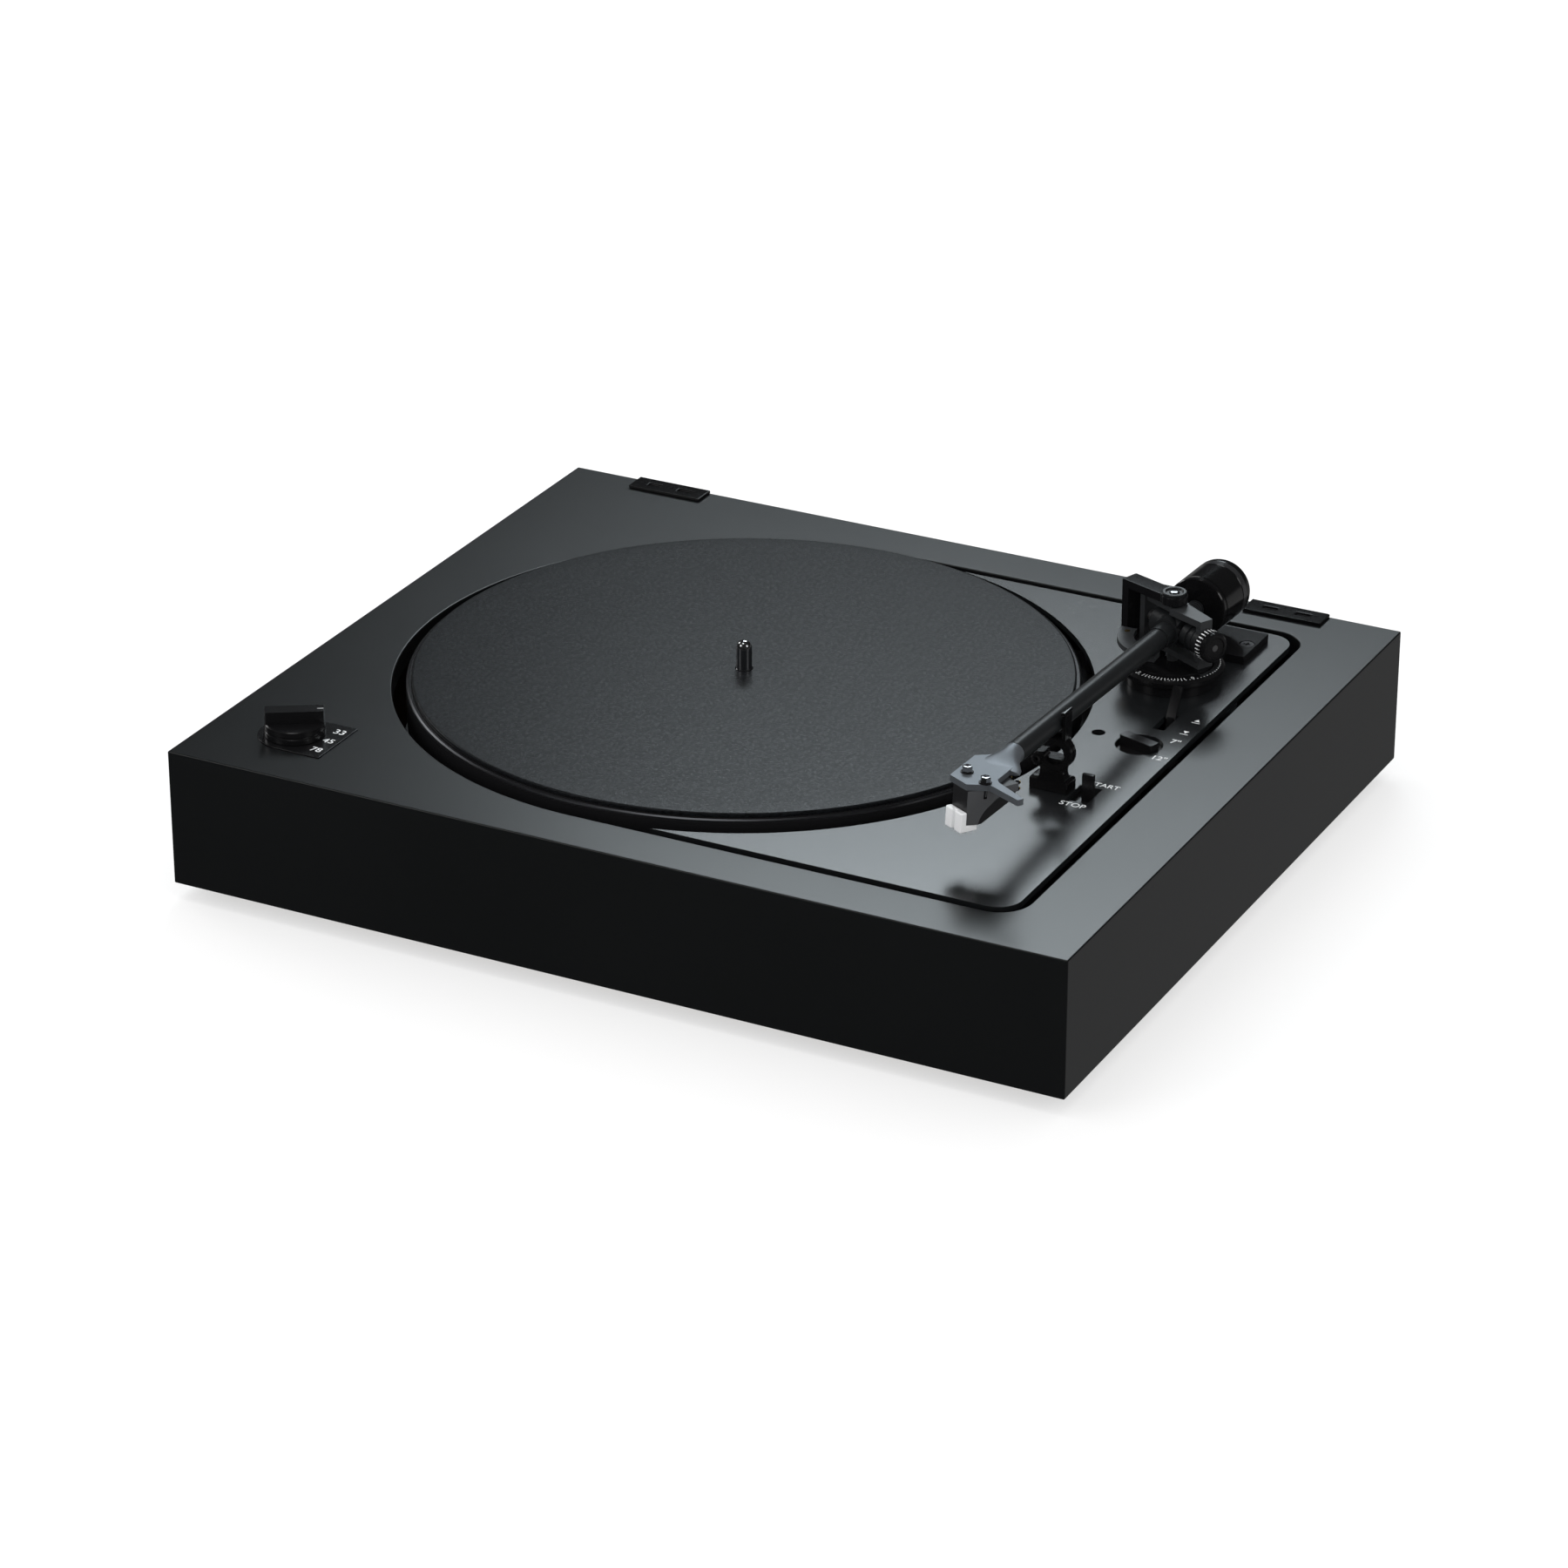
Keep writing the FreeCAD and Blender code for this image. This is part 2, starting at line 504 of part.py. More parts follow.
def buildBase():
    """Everything of the arm that stays still: plate, column, dial, bridge and upper bearing."""
    column = fuse(rod("columnRadius", "columnTall", "pivotX", "pivotY", deck),
                  rod("columnRadius + 3", "dialGap + baseThick", "pivotX", "pivotY", deck),
                  rod("columnRadius - 9.5", "12", "pivotX", "pivotY", f"{deck} - 12"),
                  slab("baseWide", "baseDeep - baseStep", "baseThick", "pivotX",
                       "pivotY + (baseDeep + baseStep) / 2", deck),
                  slab("baseWide * 0.6", "baseStep + 1", "baseThick", "pivotX",
                       "pivotY + (baseStep + 1) / 2", deck))
    stemX, stemY = "pivotX + stemReach * cos(stemAngle)", "pivotY + stemReach * sin(stemAngle)"
    screwY = "pivotY + (baseDeep + baseStep) / 2"
    screws = [f"pivotX {sign} (baseWide / 2 - 4.5)" for sign in "-+"]
    keep("arm_base", cut(column,
                         rod("swivelRadius + swivelFit", "columnTall + 9", "pivotX", "pivotY", f"{deck} - 9"),
                         rod("liftStem + stemFit", "30", stemX, stemY, f"{deck} - 12"),
                         *[rod("3.4", "1.7", x, screwY, f"{deck} + baseThick - 1.7") for x in screws],
                         *[rod("1.7", "baseThick", x, screwY, deck) for x in screws]))
    heads = []
    for x in screws:
        head = fuse(rod("3.2", "1.3", x, screwY, f"{deck} + baseThick - 1.6"),
                    rod("1.6", "baseThick - 1.6", x, screwY, deck))
        cross = [slab("3.6", "0.8", "1", x, screwY, f"{deck} + baseThick - 1.1"),
                 slab("0.8", "3.6", "1", x, screwY, f"{deck} + baseThick - 1.1")]
        heads.append(cut(head, *cross))
    keep("base_screws", group(*heads))

    dial = newBody()
    side = sketchOn(dial, "XZ_Plane")
    inner = "(columnRadius + dialGap)"
    outline(side, [(inner, 0), ("dialRadius - 1.2", 0), ("dialRadius", 1.2), ("dialRadius", "dialTall - 0.8"),
                   ("dialRadius - 0.8", "dialTall"), (inner, "dialTall")])
    revolve(dial, side)
    keep("antiskate_dial", move(dial, "pivotX", "pivotY", f"{deck} + baseThick + 2 * dialGap"))

    reach, wide, thick = "bridgeReach", "bridgeWide", "bridgeThick"
    arm = box(reach, wide, thick, "-bridgeReach", "-bridgeWide / 2", "bridgeTop - bridgeThick")
    nose = rod("capRadius", thick, 0, 0, "bridgeTop - bridgeThick")
    leg = box(thick, wide, "bridgeTop - columnTall - 0.1", "-bridgeReach", "-bridgeWide / 2",
              "columnTall + 0.1")
    foot = box("bridgeReach - 8", wide, "gimbalFloor - columnTall - 0.8", "-bridgeReach", "-bridgeWide / 2",
               "columnTall + 0.1")
    screw = rod("1.5", "bridgeTop - gimbalTop + 2", 0, 0, "gimbalTop - 2")
    keep("bearing_bridge", cut(fuse(arm, nose, leg, foot),
                               rod("1.55", "bridgeThick", 0, 0, "bridgeTop - bridgeThick")),
         turnedFrame(deckZ, read("bridgeTurn")))
    cap = newBody()
    rim = sketchOn(cap, "XZ_Plane")
    outline(rim, [(0, "bridgeTop"), ("capRadius - 0.4", "bridgeTop"),
                  ("capRadius - 0.4", "bridgeTop + capTall * 0.6"),
                  ("capRadius - 1", "bridgeTop + capTall"), ("capRadius - 2", "bridgeTop + capTall"),
                  ("capRadius - 2.4", "bridgeTop + capTall * 0.5"), (0, "bridgeTop + capTall * 0.5")])
    revolve(cap, rim)
    keep("bearing_cap", fuse(cap, screw), turnedFrame(deckZ, read("bridgeTurn")))


def buildGimbal():
    """The frame that swings with the arm, with its pins and the tracking-force spring drum."""
    level = turnedFrame(deckZ, read("bearingTurn"))
    full = "(gimbalLeft + gimbalReach)"
    topBar = box("gimbalLeft + 3", "6", "gimbalWall", "-gimbalLeft", "-3", "gimbalTop - gimbalWall")
    body = newBody()
    lid = sketchOn(body, lift="gimbalTop - gimbalWall")
    outline(lid, [(3, "-5"), ("gimbalReach", "-3.3"), ("gimbalReach", "3.3"), (3, "5")])
    pad(body, lid, "gimbalWall")
    tall = "gimbalTop - gimbalFloor"
    left = box("gimbalWall", "8", tall, "-gimbalLeft", "-4", "gimbalFloor")
    right = box("gimbalWall", "6.6", tall, "gimbalReach - gimbalWall", "-3.3", "gimbalFloor")
    floor = box(full, "8", "gimbalWall - 0.6", "-gimbalLeft", "-4", "gimbalFloor")
    swivel = rod("swivelRadius", "gimbalFloor + 8", 0, 0, "-8")
    frame = fuse(topBar, body, left, right, floor, swivel)
    pinBore = rod("pinRadius", "60", "-30", 0, "pivotRise", "x")
    topBore = rod("1.56", "2.3", 0, 0, "gimbalTop - 2.3")
    drumHole = rod("pinRadius", "1", "gimbalReach", 0, "pivotRise", "x")
    keep("gimbal_frame", cut(frame, pinBore, topBore, drumHole), level)

    length = "gimbalLeft - collarWide / 2 + pinDeep"
    leftPin = fuse(rod("pinRadius", length, "-gimbalLeft", 0, "pivotRise", "x"),
                   rod("2.4", "4.4", "-gimbalLeft + gimbalWall + 0.1", 0, "pivotRise", "x"))
    rightPin = rod("pinRadius", "gimbalReach + knobLong - collarWide / 2 + pinDeep",
                   "collarWide / 2 - pinDeep", 0, "pivotRise", "x")
    keep("gimbal_pins", group(leftPin, rightPin), level)
    drum = rod("drumRadius", "gimbalReach - gimbalWall - drumStart", "drumStart", 0, "pivotRise", "x")
    bore = rod("pinRadius + 0.02", "30", "drumStart", 0, "pivotRise", "x")
    groove = cut(rod("drumRadius + 1", "2.2", "gimbalReach - gimbalWall - 6.5", 0, "pivotRise", "x"),
                 rod("drumRadius - 1", "2.2", "gimbalReach - gimbalWall - 6.5", 0, "pivotRise", "x"))
    keep("force_drum", cut(drum, bore, groove), level)
    knob = newBody()
    side = sketchOn(knob, "XZ_Plane")
    outline(side, [("pinRadius + pinFit", 0), ("knobRadius - 0.6", 0), ("knobRadius", 0.6),
                   ("knobRadius", "knobLong - 1.2"), ("knobRadius - 1.2", "knobLong"),
                   ("pinRadius + pinFit", "knobLong")])
    revolve(knob, side)
    start = Vector(read("gimbalReach") + read("knobGap"), 0, read("pivotRise"))
    keep("force_dial", knob, level * Placement(start, turned["x"]))


# ---------------------------------------------------------------- the arm itself
def armFrame():
    turn = math.radians(read("bearingTurn"))
    tilt = Rotation(Vector(-math.cos(turn), math.sin(turn), 0), read("restTilt"))
    return Placement(Vector(read("pivotX"), read("pivotY"), deckZ + read("pivotRise")), tilt)


def headFrame():
    between = Vector(read("headSide"), -read("headReach"), 0)
    return armFrame() * Placement(between, Rotation(Vector(0, 0, 1), -read("bearingTurn")))


def buildArm():
    frame = armFrame()
    bore = "(tubeRadius + tubeFit)"
    tube = rod("tubeRadius", "tubeLong + tubeTail", 0, "-tubeLong", 0, "y")
    hollow = rod("tubeRadius - tubeWall", "tubeLong + tubeTail", 0, "-tubeLong", 0, "y")
    keep("arm_tube", cut(tube, hollow), frame)
    across = Placement(Vector(), Rotation(Vector(0, 0, 1), -read("bearingTurn")))
    lug = group(rod("collarRadius", "collarWide", "-collarWide / 2", 0, 0, "x"))
    pinHoles = group(rod("pinRadius + pinFit", "pinDeep + 0.2", "-collarWide / 2", 0, 0, "x"),
                     rod("pinRadius + pinFit", "pinDeep + 0.2", "collarWide / 2 - pinDeep - 0.2", 0, 0, "x"))
    lug.Placement = across
    pinHoles.Placement = across
    block = fuse(lug, rod("collarRadius - 0.4", "24", 0, "-10", 0, "y"),
                 rod("tubeRadius + 0.45", "sleeveLong", 0, "-sleeveLong", 0, "y"))
    keep("arm_collar", cut(block, rod(bore, "sleeveLong + 30", 0, "-sleeveLong", 0, "y"), pinHoles), frame)
    inner = "(tubeRadius - tubeWall - tubeFit)"
    keep("weight_stub", fuse(rod("stubRadius", "stubLong - tubeTail", 0, "tubeTail", 0, "y"),
                             rod(inner, 8, 0, "tubeTail - 8", 0, "y")), frame)
    weight = newBody()
    side = sketchOn(weight, "XZ_Plane")
    hole = "(stubRadius + weightFit)"
    outline(side, [(hole, 0), ("weightRadius - 0.8", 0), ("weightRadius", 0.8), ("weightRadius", 3),
                   ("weightRadius - 0.5", 3.3), ("weightRadius - 0.5", 3.8), ("weightRadius", 4.1),
                   ("weightRadius", "weightLong - weightRound"), ("weightRadius - weightRound", "weightLong"),
                   (hole, "weightLong")])
    revolve(weight, side)
    start = Placement(Vector(0, read("weightStart"), 0), turned["y"])
    keep("counterweight", weight, frame * start)


def headPoint(ahead, right):
    """A point of the headshell in the arm's frame, from distances in the headshell's own."""
    x = f"headSide - ({ahead}) * sin(bearingTurn) + ({right}) * cos(bearingTurn)"
    y = f"-headReach - ({ahead}) * cos(bearingTurn) - ({right}) * sin(bearingTurn)"
    return x, y


def buildHead():
    """Headshell with its finger lift, and the cartridge with its screws and pins."""
    body = newBody()
    plate = sketchOn(body, lift="headRise - headThick")
    left = "(headLeft + headSide - headFront * sin(bearingTurn)) / cos(bearingTurn)"
    frontLeft = ("-headLeft", f"-headReach - headFront * cos(bearingTurn) + {left} * sin(bearingTurn)")
    outline(plate, [
        ("-headLeft", "-headBack"), frontLeft, headPoint("headFront", 3.7), headPoint("-0.4", 9.2),
        headPoint("-1.2", "fingerLong"), headPoint("-4.2", "fingerLong"), headPoint("-5.2", 8.6),
        ("headRight", "-headReach + 3"), ("headRight", "-headBack"), ("tubeRadius", "-headBack + 6"),
        ("-tubeRadius", "-headBack + 6")])
    pad(body, plate, "headThick")
    holes = sketchOn(body, lift="headRise")
    for side in "-+":
        x, y = headPoint(0, f"{side}boltPitch / 2")
        circle(holes, "boltRadius + boltFit", x, y)
    pocket(body, holes, "headThick")
    neck = taper("headThick / 2 + 0.4", "tubeRadius - 0.1", "headBack - tubeLong", 0, "-headBack", 0, "y")
    keep("headshell", fuse(body, neck), armFrame())

    frame = headFrame()
    under = "(headRise - headThick)"
    cart = newBody()
    plan = sketchOn(cart, lift=f"{under} - bodyTall")
    outline(plan, [("-bodyNose / 2", "-headFront"), ("bodyNose / 2", "-headFront"), ("bodyWide / 2", "2"),
                   ("bodyWide / 2", "bodyBack"), ("-bodyWide / 2", "bodyBack"), ("-bodyWide / 2", "2")])
    pad(cart, plan, "bodyTall")
    wedge = sketchOn(cart, "YZ_Plane")
    outline(wedge, [("-1", f"{under} - bodyTall - 1"), ("bodyBack + 1", f"{under} - bodyTall - 1"),
                    ("bodyBack + 1", f"{under} - bodyTall * 0.45"),
                    ("bodyBack", f"{under} - bodyTall * 0.45"),
                    ("-1", f"{under} - bodyTall")])
    slope = pocket(cart, wedge, "bodyWide + 2")
    slope.Midplane = True
    bores = sketchOn(cart, lift=under)
    for side in "-+":
        circle(bores, "boltRadius + boltFit", f"{side}boltPitch / 2", 0)
    pocket(cart, bores, 4)
    keep("cartridge_body", cart, frame)

    front = box("stylusWide", 3, "stylusTall", "-stylusWide / 2", "-headFront - 3",
                f"{under} - bodyTall - stylusDrop")
    sole = box("stylusWide", "headFront - 2", "stylusDrop", "-stylusWide / 2", "-headFront",
               f"{under} - bodyTall - stylusDrop")
    slot = slab("1.5", "2.4", "stylusTall", 0, "-headFront - 3", f"{under} - bodyTall - stylusDrop")
    keep("stylus_block", cut(fuse(front, sole), slot), frame)
    floor = f"({under} - bodyTall - stylusDrop)"
    beam = rod("0.35", "4.5", 0, "-headFront - 1.7", f"{floor} - 0.35", "y")
    keep("stylus", fuse(beam, taper("0.06", "0.3", "0.9", 0, "-headFront - 1.4", f"{floor} - 1.2")), frame)

    bolts, washers = [], []
    for side in "-+":
        x = f"{side}boltPitch / 2"
        head = cut(rod("boltHead", "2.6", x, 0, "headRise + 0.5"), rod("1.1", "1.6", x, 0, "headRise + 1.6"))
        bolts.append(fuse(head, rod("boltRadius", "headThick + 3.8", x, 0, f"{under} - 3.3")))
        washers.append(cut(rod("boltHead + 0.7", "0.5", x, 0, "headRise"),
                           rod("boltRadius + 0.02", "0.5", x, 0, "headRise")))
    keep("cartridge_bolts", group(*bolts, *washers), frame)
    pins = [rod("0.55", "5", x, "bodyBack", z, "y") for x in ("-3", "3")
            for z in (f"{under} - 2.6", f"{under} - 5.4")]
    keep("cartridge_pins", group(*pins), frame)


# ---------------------------------------------------------------- arm rest, lift and levers
def tubeUnderside(ahead):
    """Height above the top surface of the tube's lowest line, ahead of the pivot."""
    slope = math.radians(read("restTilt")) * math.cos(math.radians(read("bearingTurn")))
    return read("pivotRise") + ahead * math.tan(slope) - read("tubeRadius") / math.cos(slope)


def buildRest():
    centreZ = tubeUnderside(read("pivotY") - read("restY")) - read("restGap") - read("ringOuter")
    ringZ = f"{deckZ} + {centreZ:.4f}"
    foot = slab("restWide", "restDeep", "restFoot", "pivotX - 0.5", "restY + 0.5", deck)
    neck = slab("restWide * 0.7", "restDeep * 0.66", f"{centreZ - 3:.4f}", "pivotX - 0.5", "restY", deck)
    ring = rod("ringOuter", "restDeep * 0.66", "pivotX", "restY - restDeep * 0.33", ringZ, "y")
    hollow = rod("ringInner", "restDeep", "pivotX", "restY - restDeep / 2", ringZ, "y")
    mouth = box("ringOuter", "restDeep", "3.4", "pivotX - ringOuter - 0.5", "restY - restDeep / 2", ringZ)
    fenceX = "pivotX + tubeRadius + fenceGap"
    railLow = f"{centreZ - 1:.4f}"
    rail = box("fenceThick", "8.5", f"fenceTall - {railLow}", fenceX, "restY - 6", f"{deck} + {railLow}")
    stemX, stemY, fenceTop = f"{fenceX} + fenceThick / 2", "restY + 1.2", f"{deck} + fenceTall"
    keep("arm_rest", cut(fuse(foot, neck, ring, rail), hollow, mouth,
                         rod("0.66", "4", stemX, stemY, f"{fenceTop} - 4")))
    blade = box("fenceThick + 0.4", "8", "buttonThick", f"{fenceX} - 0.2", "restY - 5.6", f"{fenceTop} + 0.4")
    keep("rest_button", fuse(blade, rod("0.6", "4.2", stemX, stemY, f"{fenceTop} - 3.6")))


def buildLift():
    """The cue lever, the sector plate it raises under the tube, and the damper below."""
    sector = Part.Face(Part.Wire(sectorEdges(read("liftInner"), read("liftRadius"), 180, 274)))
    plateZ = deckZ + read("liftTop") - read("liftThick")
    solid = sector.extrude(Vector(0, 0, read("liftThick")))
    solid.translate(Vector(read("pivotX"), read("pivotY"), plateZ))
    plate = doc.addObject("Part::Feature", "sector")
    plate.Shape = solid
    stemX, stemY = "pivotX + stemReach * cos(stemAngle)", "pivotY + stemReach * sin(stemAngle)"
    stem = rod("liftStem", "liftTop - liftThick + stemDrop", stemX, stemY, f"{deck} - stemDrop")
    web = group(box("liftRadius - 4 - stemReach", "2 * liftStem + 1", "2.7", "stemReach", "-liftStem - 0.5",
                    "liftTop - 2 * liftThick"))
    web.Placement = turnedFrame(deckZ, -read("stemAngle"))
    screwX, screwY = "pivotX - (liftRadius - 4) * cos(10)", "pivotY - (liftRadius - 4) * sin(10)"
    hole = rod("1.3", "liftThick", screwX, screwY, f"{deck} + liftTop - liftThick")
    keep("lift_plate", cut(fuse(plate, stem, web), hole))
    plateLow = f"{deck} + liftTop - liftThick"
    keep("height_screw", fuse(rod("1.25", "liftThick + 1", screwX, screwY, f"{plateLow} - 1"),
                              rod("2.4", "2", screwX, screwY, f"{plateLow} - 3")))
    damperLow = f"{deck} - panelThick - damperTall"
    keep("lift_damper", cut(rod("damperRadius", "damperTall", stemX, stemY, damperLow),
                            rod("liftStem + stemFit", "damperTall", stemX, stemY, f"{damperLow} + 1.5")))

    axisZ = f"({deck} - cueDrop)"
    hub = rod("4", "cueWide", "-cueWide / 2", 0, 0, "x")
    stalk = box("cueWide - 1.4", "cueThick * 2", "cueDrop / cos(cueSwing)", "-cueWide / 2 + 0.7",
                "-cueThick", 0)
    hand = box("cueWide", "cueThick", "cueRise", "-cueWide / 2", "-cueThick / 2", 0)
    hand.Placement = Placement(Vector(), Rotation(Vector(1, 0, 0), -16))
    move(hand, "-cueWide / 2", "-cueThick / 2", "cueDrop / cos(cueSwing) - 1")
    lever = cut(fuse(hub, stalk, hand), rod("cuePin + 0.06", "20", "-10", 0, 0, "x"))
    spot = Placement(Vector(read("cueX"), read("cueY"), deckZ - read("cueDrop")),
                     Rotation(Vector(1, 0, 0), -read("cueSwing")))
    keep("cue_lever", lever, spot)
    ears = [box("2", "10", "8", f"cueX {sign} cueWide / 2 {sign} 0.4 {shift}", "cueY - 5", panTop)
            for sign, shift in (("-", "- 2"), ("+", ""))]
    pinRod = rod("cuePin", "cueWide + 4.8", "cueX - cueWide / 2 - 2.4", "cueY", axisZ, "x")
    keep("cue_bracket", fuse(*ears, pinRod))


def sectorEdges(inner, outer, low, high):
    """The outline of a flat ring sector between two angles in degrees."""
    def at(radius, angle):
        return Vector(radius * math.cos(math.radians(angle)), radius * math.sin(math.radians(angle)), 0)
    middle = (low + high) / 2
    return [Part.Arc(at(outer, low), at(outer, middle), at(outer, high)).toShape(),
            Part.LineSegment(at(outer, high), at(inner, high)).toShape(),
            Part.Arc(at(inner, high), at(inner, middle), at(inner, low)).toShape(),
            Part.LineSegment(at(inner, low), at(outer, low)).toShape()]


def buildControls():
    """Start and stop lever, record size selector, speed knob and their switches."""
    under = f"({deck} - panelThick)"
    slide = slab("startWide + 4", "startLong + 2 * startTravel + 4", "1.6", "startX", "startY",
                 f"{under} - 1.9")
    tab = slab("tabWide", "tabThick", "startRise + panelThick + 1",
               "startX + startWide / 2 - tabWide / 2 - 0.3", "startY", f"{under} - 1")
    keep("start_lever", fuse(slide, tab))
    channel = slab("startWide + 10", "startLong + 10", "panDrop - panelThick - 2", "startX", "startY", panTop)
    track = slab("startWide + 6", "startLong + 11", "6", "startX", "startY", f"{under} - 6")
    relief = slab("startWide", "startLong + 11", "14", "startX", "startY", f"{panTop} + 2")
    keep("start_guide", cut(channel, track, relief))

    disc = rod("sizeRadius - 0.25", "2.2", 0, 0, "-4.4")
    bar = slab("2 * sizeRadius - 2", "sizeBar", "sizeRise + 2.3", 0, 0, "-2.3")
    barEnds = rod("sizeRadius - 1.2", "sizeRise + 2.3", 0, 0, "-2.3")
    common = doc.addObject("Part::Common", "bar")
    common.Base, common.Tool = bar, barEnds
    knob = fuse(disc, common, rod("shaftSlim", "12", 0, 0, "-16"))
    upward = Vector(0, 0, 1)
    spot = Placement(Vector(read("sizeX"), read("sizeY"), deckZ), Rotation(upward, read("sizeTurn")))
    keep("size_knob", knob, spot)
    keep("size_switch", cut(slab("20", "20", "panDrop - 6", "sizeX", "sizeY", panTop),
                            rod("shaftSlim + slimFit", "30", "sizeX", "sizeY", f"{panTop} + 1.5")))

    grip = slab("2 * speedRadius - 0.6", "gripWide", "gripTall + 0.2", 0, 0, "labelThick + skirtTall")
    ends = rod("speedRadius - 0.3", "gripTall + 0.2", 0, 0, "labelThick + skirtTall")
    bar = doc.addObject("Part::Common", "grip")
    bar.Base, bar.Tool = grip, ends
    skirt = fuse(taper("speedRadius", "speedRadius - 0.5", "skirtTall", 0, 0, "labelThick + 0.2"), bar,
                 rod("shaftSlim", "20", 0, 0, "-18"))
    spot = Placement(Vector(read("speedX"), read("speedY"), deckZ), Rotation(upward, read("speedTurn")))
    keep("speed_knob", skirt, spot)
    plate = newBody()
    label = sketchOn(plate, lift=deck)
    circle(label, "speedRadius + 3")
    pad(plate, label, "labelThick")
    tongue = sketchOn(plate, lift=deck)
    rectangle(tongue, 0, "speedRadius + 8.6", "-speedRadius - 3", "speedRadius + 3")
    pad(plate, tongue, "labelThick")
    hole = sketchOn(plate, lift=f"{deck} + labelThick")
    circle(hole, "shaftSlim + 0.4")
    pocket(plate, hole, "labelThick")
    keep("speed_plate", move(plate, "speedX", "speedY"))
    top = f"({deck} - topThick)"
    keep("speed_switch", cut(slab("24", "24", "14", "speedX", "speedY", f"{top} - 14"),
                             rod("shaftSlim + slimFit", "30", "speedX", "speedY", f"{top} - 9")))


# ---------------------------------------------------------------- lid sockets, electronics, back panel
def buildBack():
    sockets = []
    for x in ("socketLeft", "socketRight"):
        plate = box("socketWide", "socketDeep", "socketTall", x, "plinthDeep / 2 - socketDeep", deck)
        hooks = [box("7", "3", "socketTall", f"{x} + {shift}", "plinthDeep / 2 - 7.5", f"{deck} + 0.4")
                 for shift in (8, 24)]
        sockets.append(cut(plate, *hooks))
    keep("lid_sockets", group(*sockets))

    windowZ = "(footTall + 14)"
    inside = "(plinthDeep / 2 - wallThick)"
    plate = slab("windowWide + 8", "2", "windowTall + 8", "windowX", f"{inside} - 1", f"{windowZ} - 4")
    jackZ = f"({windowZ} + windowTall / 2)"
    jackXs = [f"windowX - 24 + {i} * jackPitch" for i in range(2)]
    inletX, postX = "windowX + 28", "windowX + 8"
    bores = [rod("jackRadius + 0.9", "4", x, f"{inside} - 3", jackZ, "y") for x in jackXs]
    bores.append(rod("inletRadius + 1.65", "4", inletX, f"{inside} - 3", jackZ, "y"))
    post = [rod("2", "6", postX, f"{inside} - 2", jackZ, "y"),
            rod("4", "4", postX, f"{inside} + 3", jackZ, "y")]
    keep("socket_panel", fuse(cut(plate, *bores), *post))
    jacks = []
    for x in jackXs:
        # a shoulder in the panel, a thin neck, then the free barrel a plug slides over
        jack = fuse(rod("jackRadius + 0.85", "4.5", x, f"{inside} - 4", jackZ, "y"),
                    rod("jackRadius - 0.25", "1", x, inside, jackZ, "y"),
                    rod("jackRadius", "jackLong", x, f"{inside} + 0.8", jackZ, "y"))
        jacks.append(cut(jack, rod("1.6", "jackLong + 1", x, inside, jackZ, "y")))
    keep("phono_sockets", group(*jacks))
    inlet = cut(rod("inletRadius + 1.6", "13", inletX, f"{inside} - 9", jackZ, "y"),
                cut(rod("inletRadius", "10", inletX, f"{inside} - 6", jackZ, "y"),
                    rod("1", "8", inletX, f"{inside} - 6", jackZ, "y")))
    keep("power_inlet", inlet)
    board = slab("96", "60", "1.6", "windowX", f"{inside} - 44", "footTall + coverThick + 5")
    legs = [rod("3", "5", f"windowX {sx} 40", f"{inside} - 44 {sy} 24", "footTall + coverThick")
            for sx in "-+" for sy in "-+"]
    chips = [slab("14", "10", "6", "windowX - 20", f"{inside} - 40", "footTall + coverThick + 6.6"),
             rod("5", "12", "windowX + 18", f"{inside} - 44", "footTall + coverThick + 6.6")]
    keep("circuit_board", fuse(board, *legs, *chips))


for build in (buildPlinth, buildFeet, buildChassis, buildPlatter, buildDrive, buildBase, buildGimbal,
              buildArm, buildHead, buildRest, buildLift, buildControls, buildBack):
    build()
doc.recompute()

for thing in doc.Objects:
    if "Invalid" in thing.State or "Error" in thing.State:
        raise SystemExit(f"{thing.Name} {thing.Label} failed: {thing.State}")
for name, thing in nodes.items():
    shape = thing.Shape
    if shape.isNull() or not shape.isValid() or not shape.Solids:
        raise SystemExit(f"{name} has no valid solid")

os.makedirs("parts", exist_ok=True)
for name, thing in nodes.items():
    thing.Shape.exportStep(f"parts/{name}.step")
print(len(nodes), "nodes")
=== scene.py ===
import math
import bpy
from mathutils import Matrix, Vector


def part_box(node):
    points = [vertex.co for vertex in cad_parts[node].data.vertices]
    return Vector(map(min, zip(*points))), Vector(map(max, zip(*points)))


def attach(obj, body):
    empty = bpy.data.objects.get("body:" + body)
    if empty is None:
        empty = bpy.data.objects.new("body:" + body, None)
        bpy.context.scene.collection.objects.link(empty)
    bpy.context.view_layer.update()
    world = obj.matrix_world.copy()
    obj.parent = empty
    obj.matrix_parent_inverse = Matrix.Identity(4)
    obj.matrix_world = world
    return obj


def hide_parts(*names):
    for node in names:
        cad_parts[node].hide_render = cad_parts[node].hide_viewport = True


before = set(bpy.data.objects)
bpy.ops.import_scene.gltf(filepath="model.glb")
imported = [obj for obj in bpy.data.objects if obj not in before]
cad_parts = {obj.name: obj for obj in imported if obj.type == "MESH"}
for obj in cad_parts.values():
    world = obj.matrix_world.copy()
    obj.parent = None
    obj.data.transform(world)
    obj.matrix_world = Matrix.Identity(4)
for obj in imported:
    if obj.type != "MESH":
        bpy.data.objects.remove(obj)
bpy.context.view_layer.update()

mm = 0.001
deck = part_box("arm_panel")[1][2] / mm    # height of the top surface
pivot = (142.5, 87.5, 97.5)    # where the arm's two axes cross
bearingTurn = 28    # degrees that the lift axis and the head are turned against the tube
bridgeTurn = 20    # degrees that the bearing's bridge is turned
restTilt = 3.17    # degrees that the resting arm rises towards its head
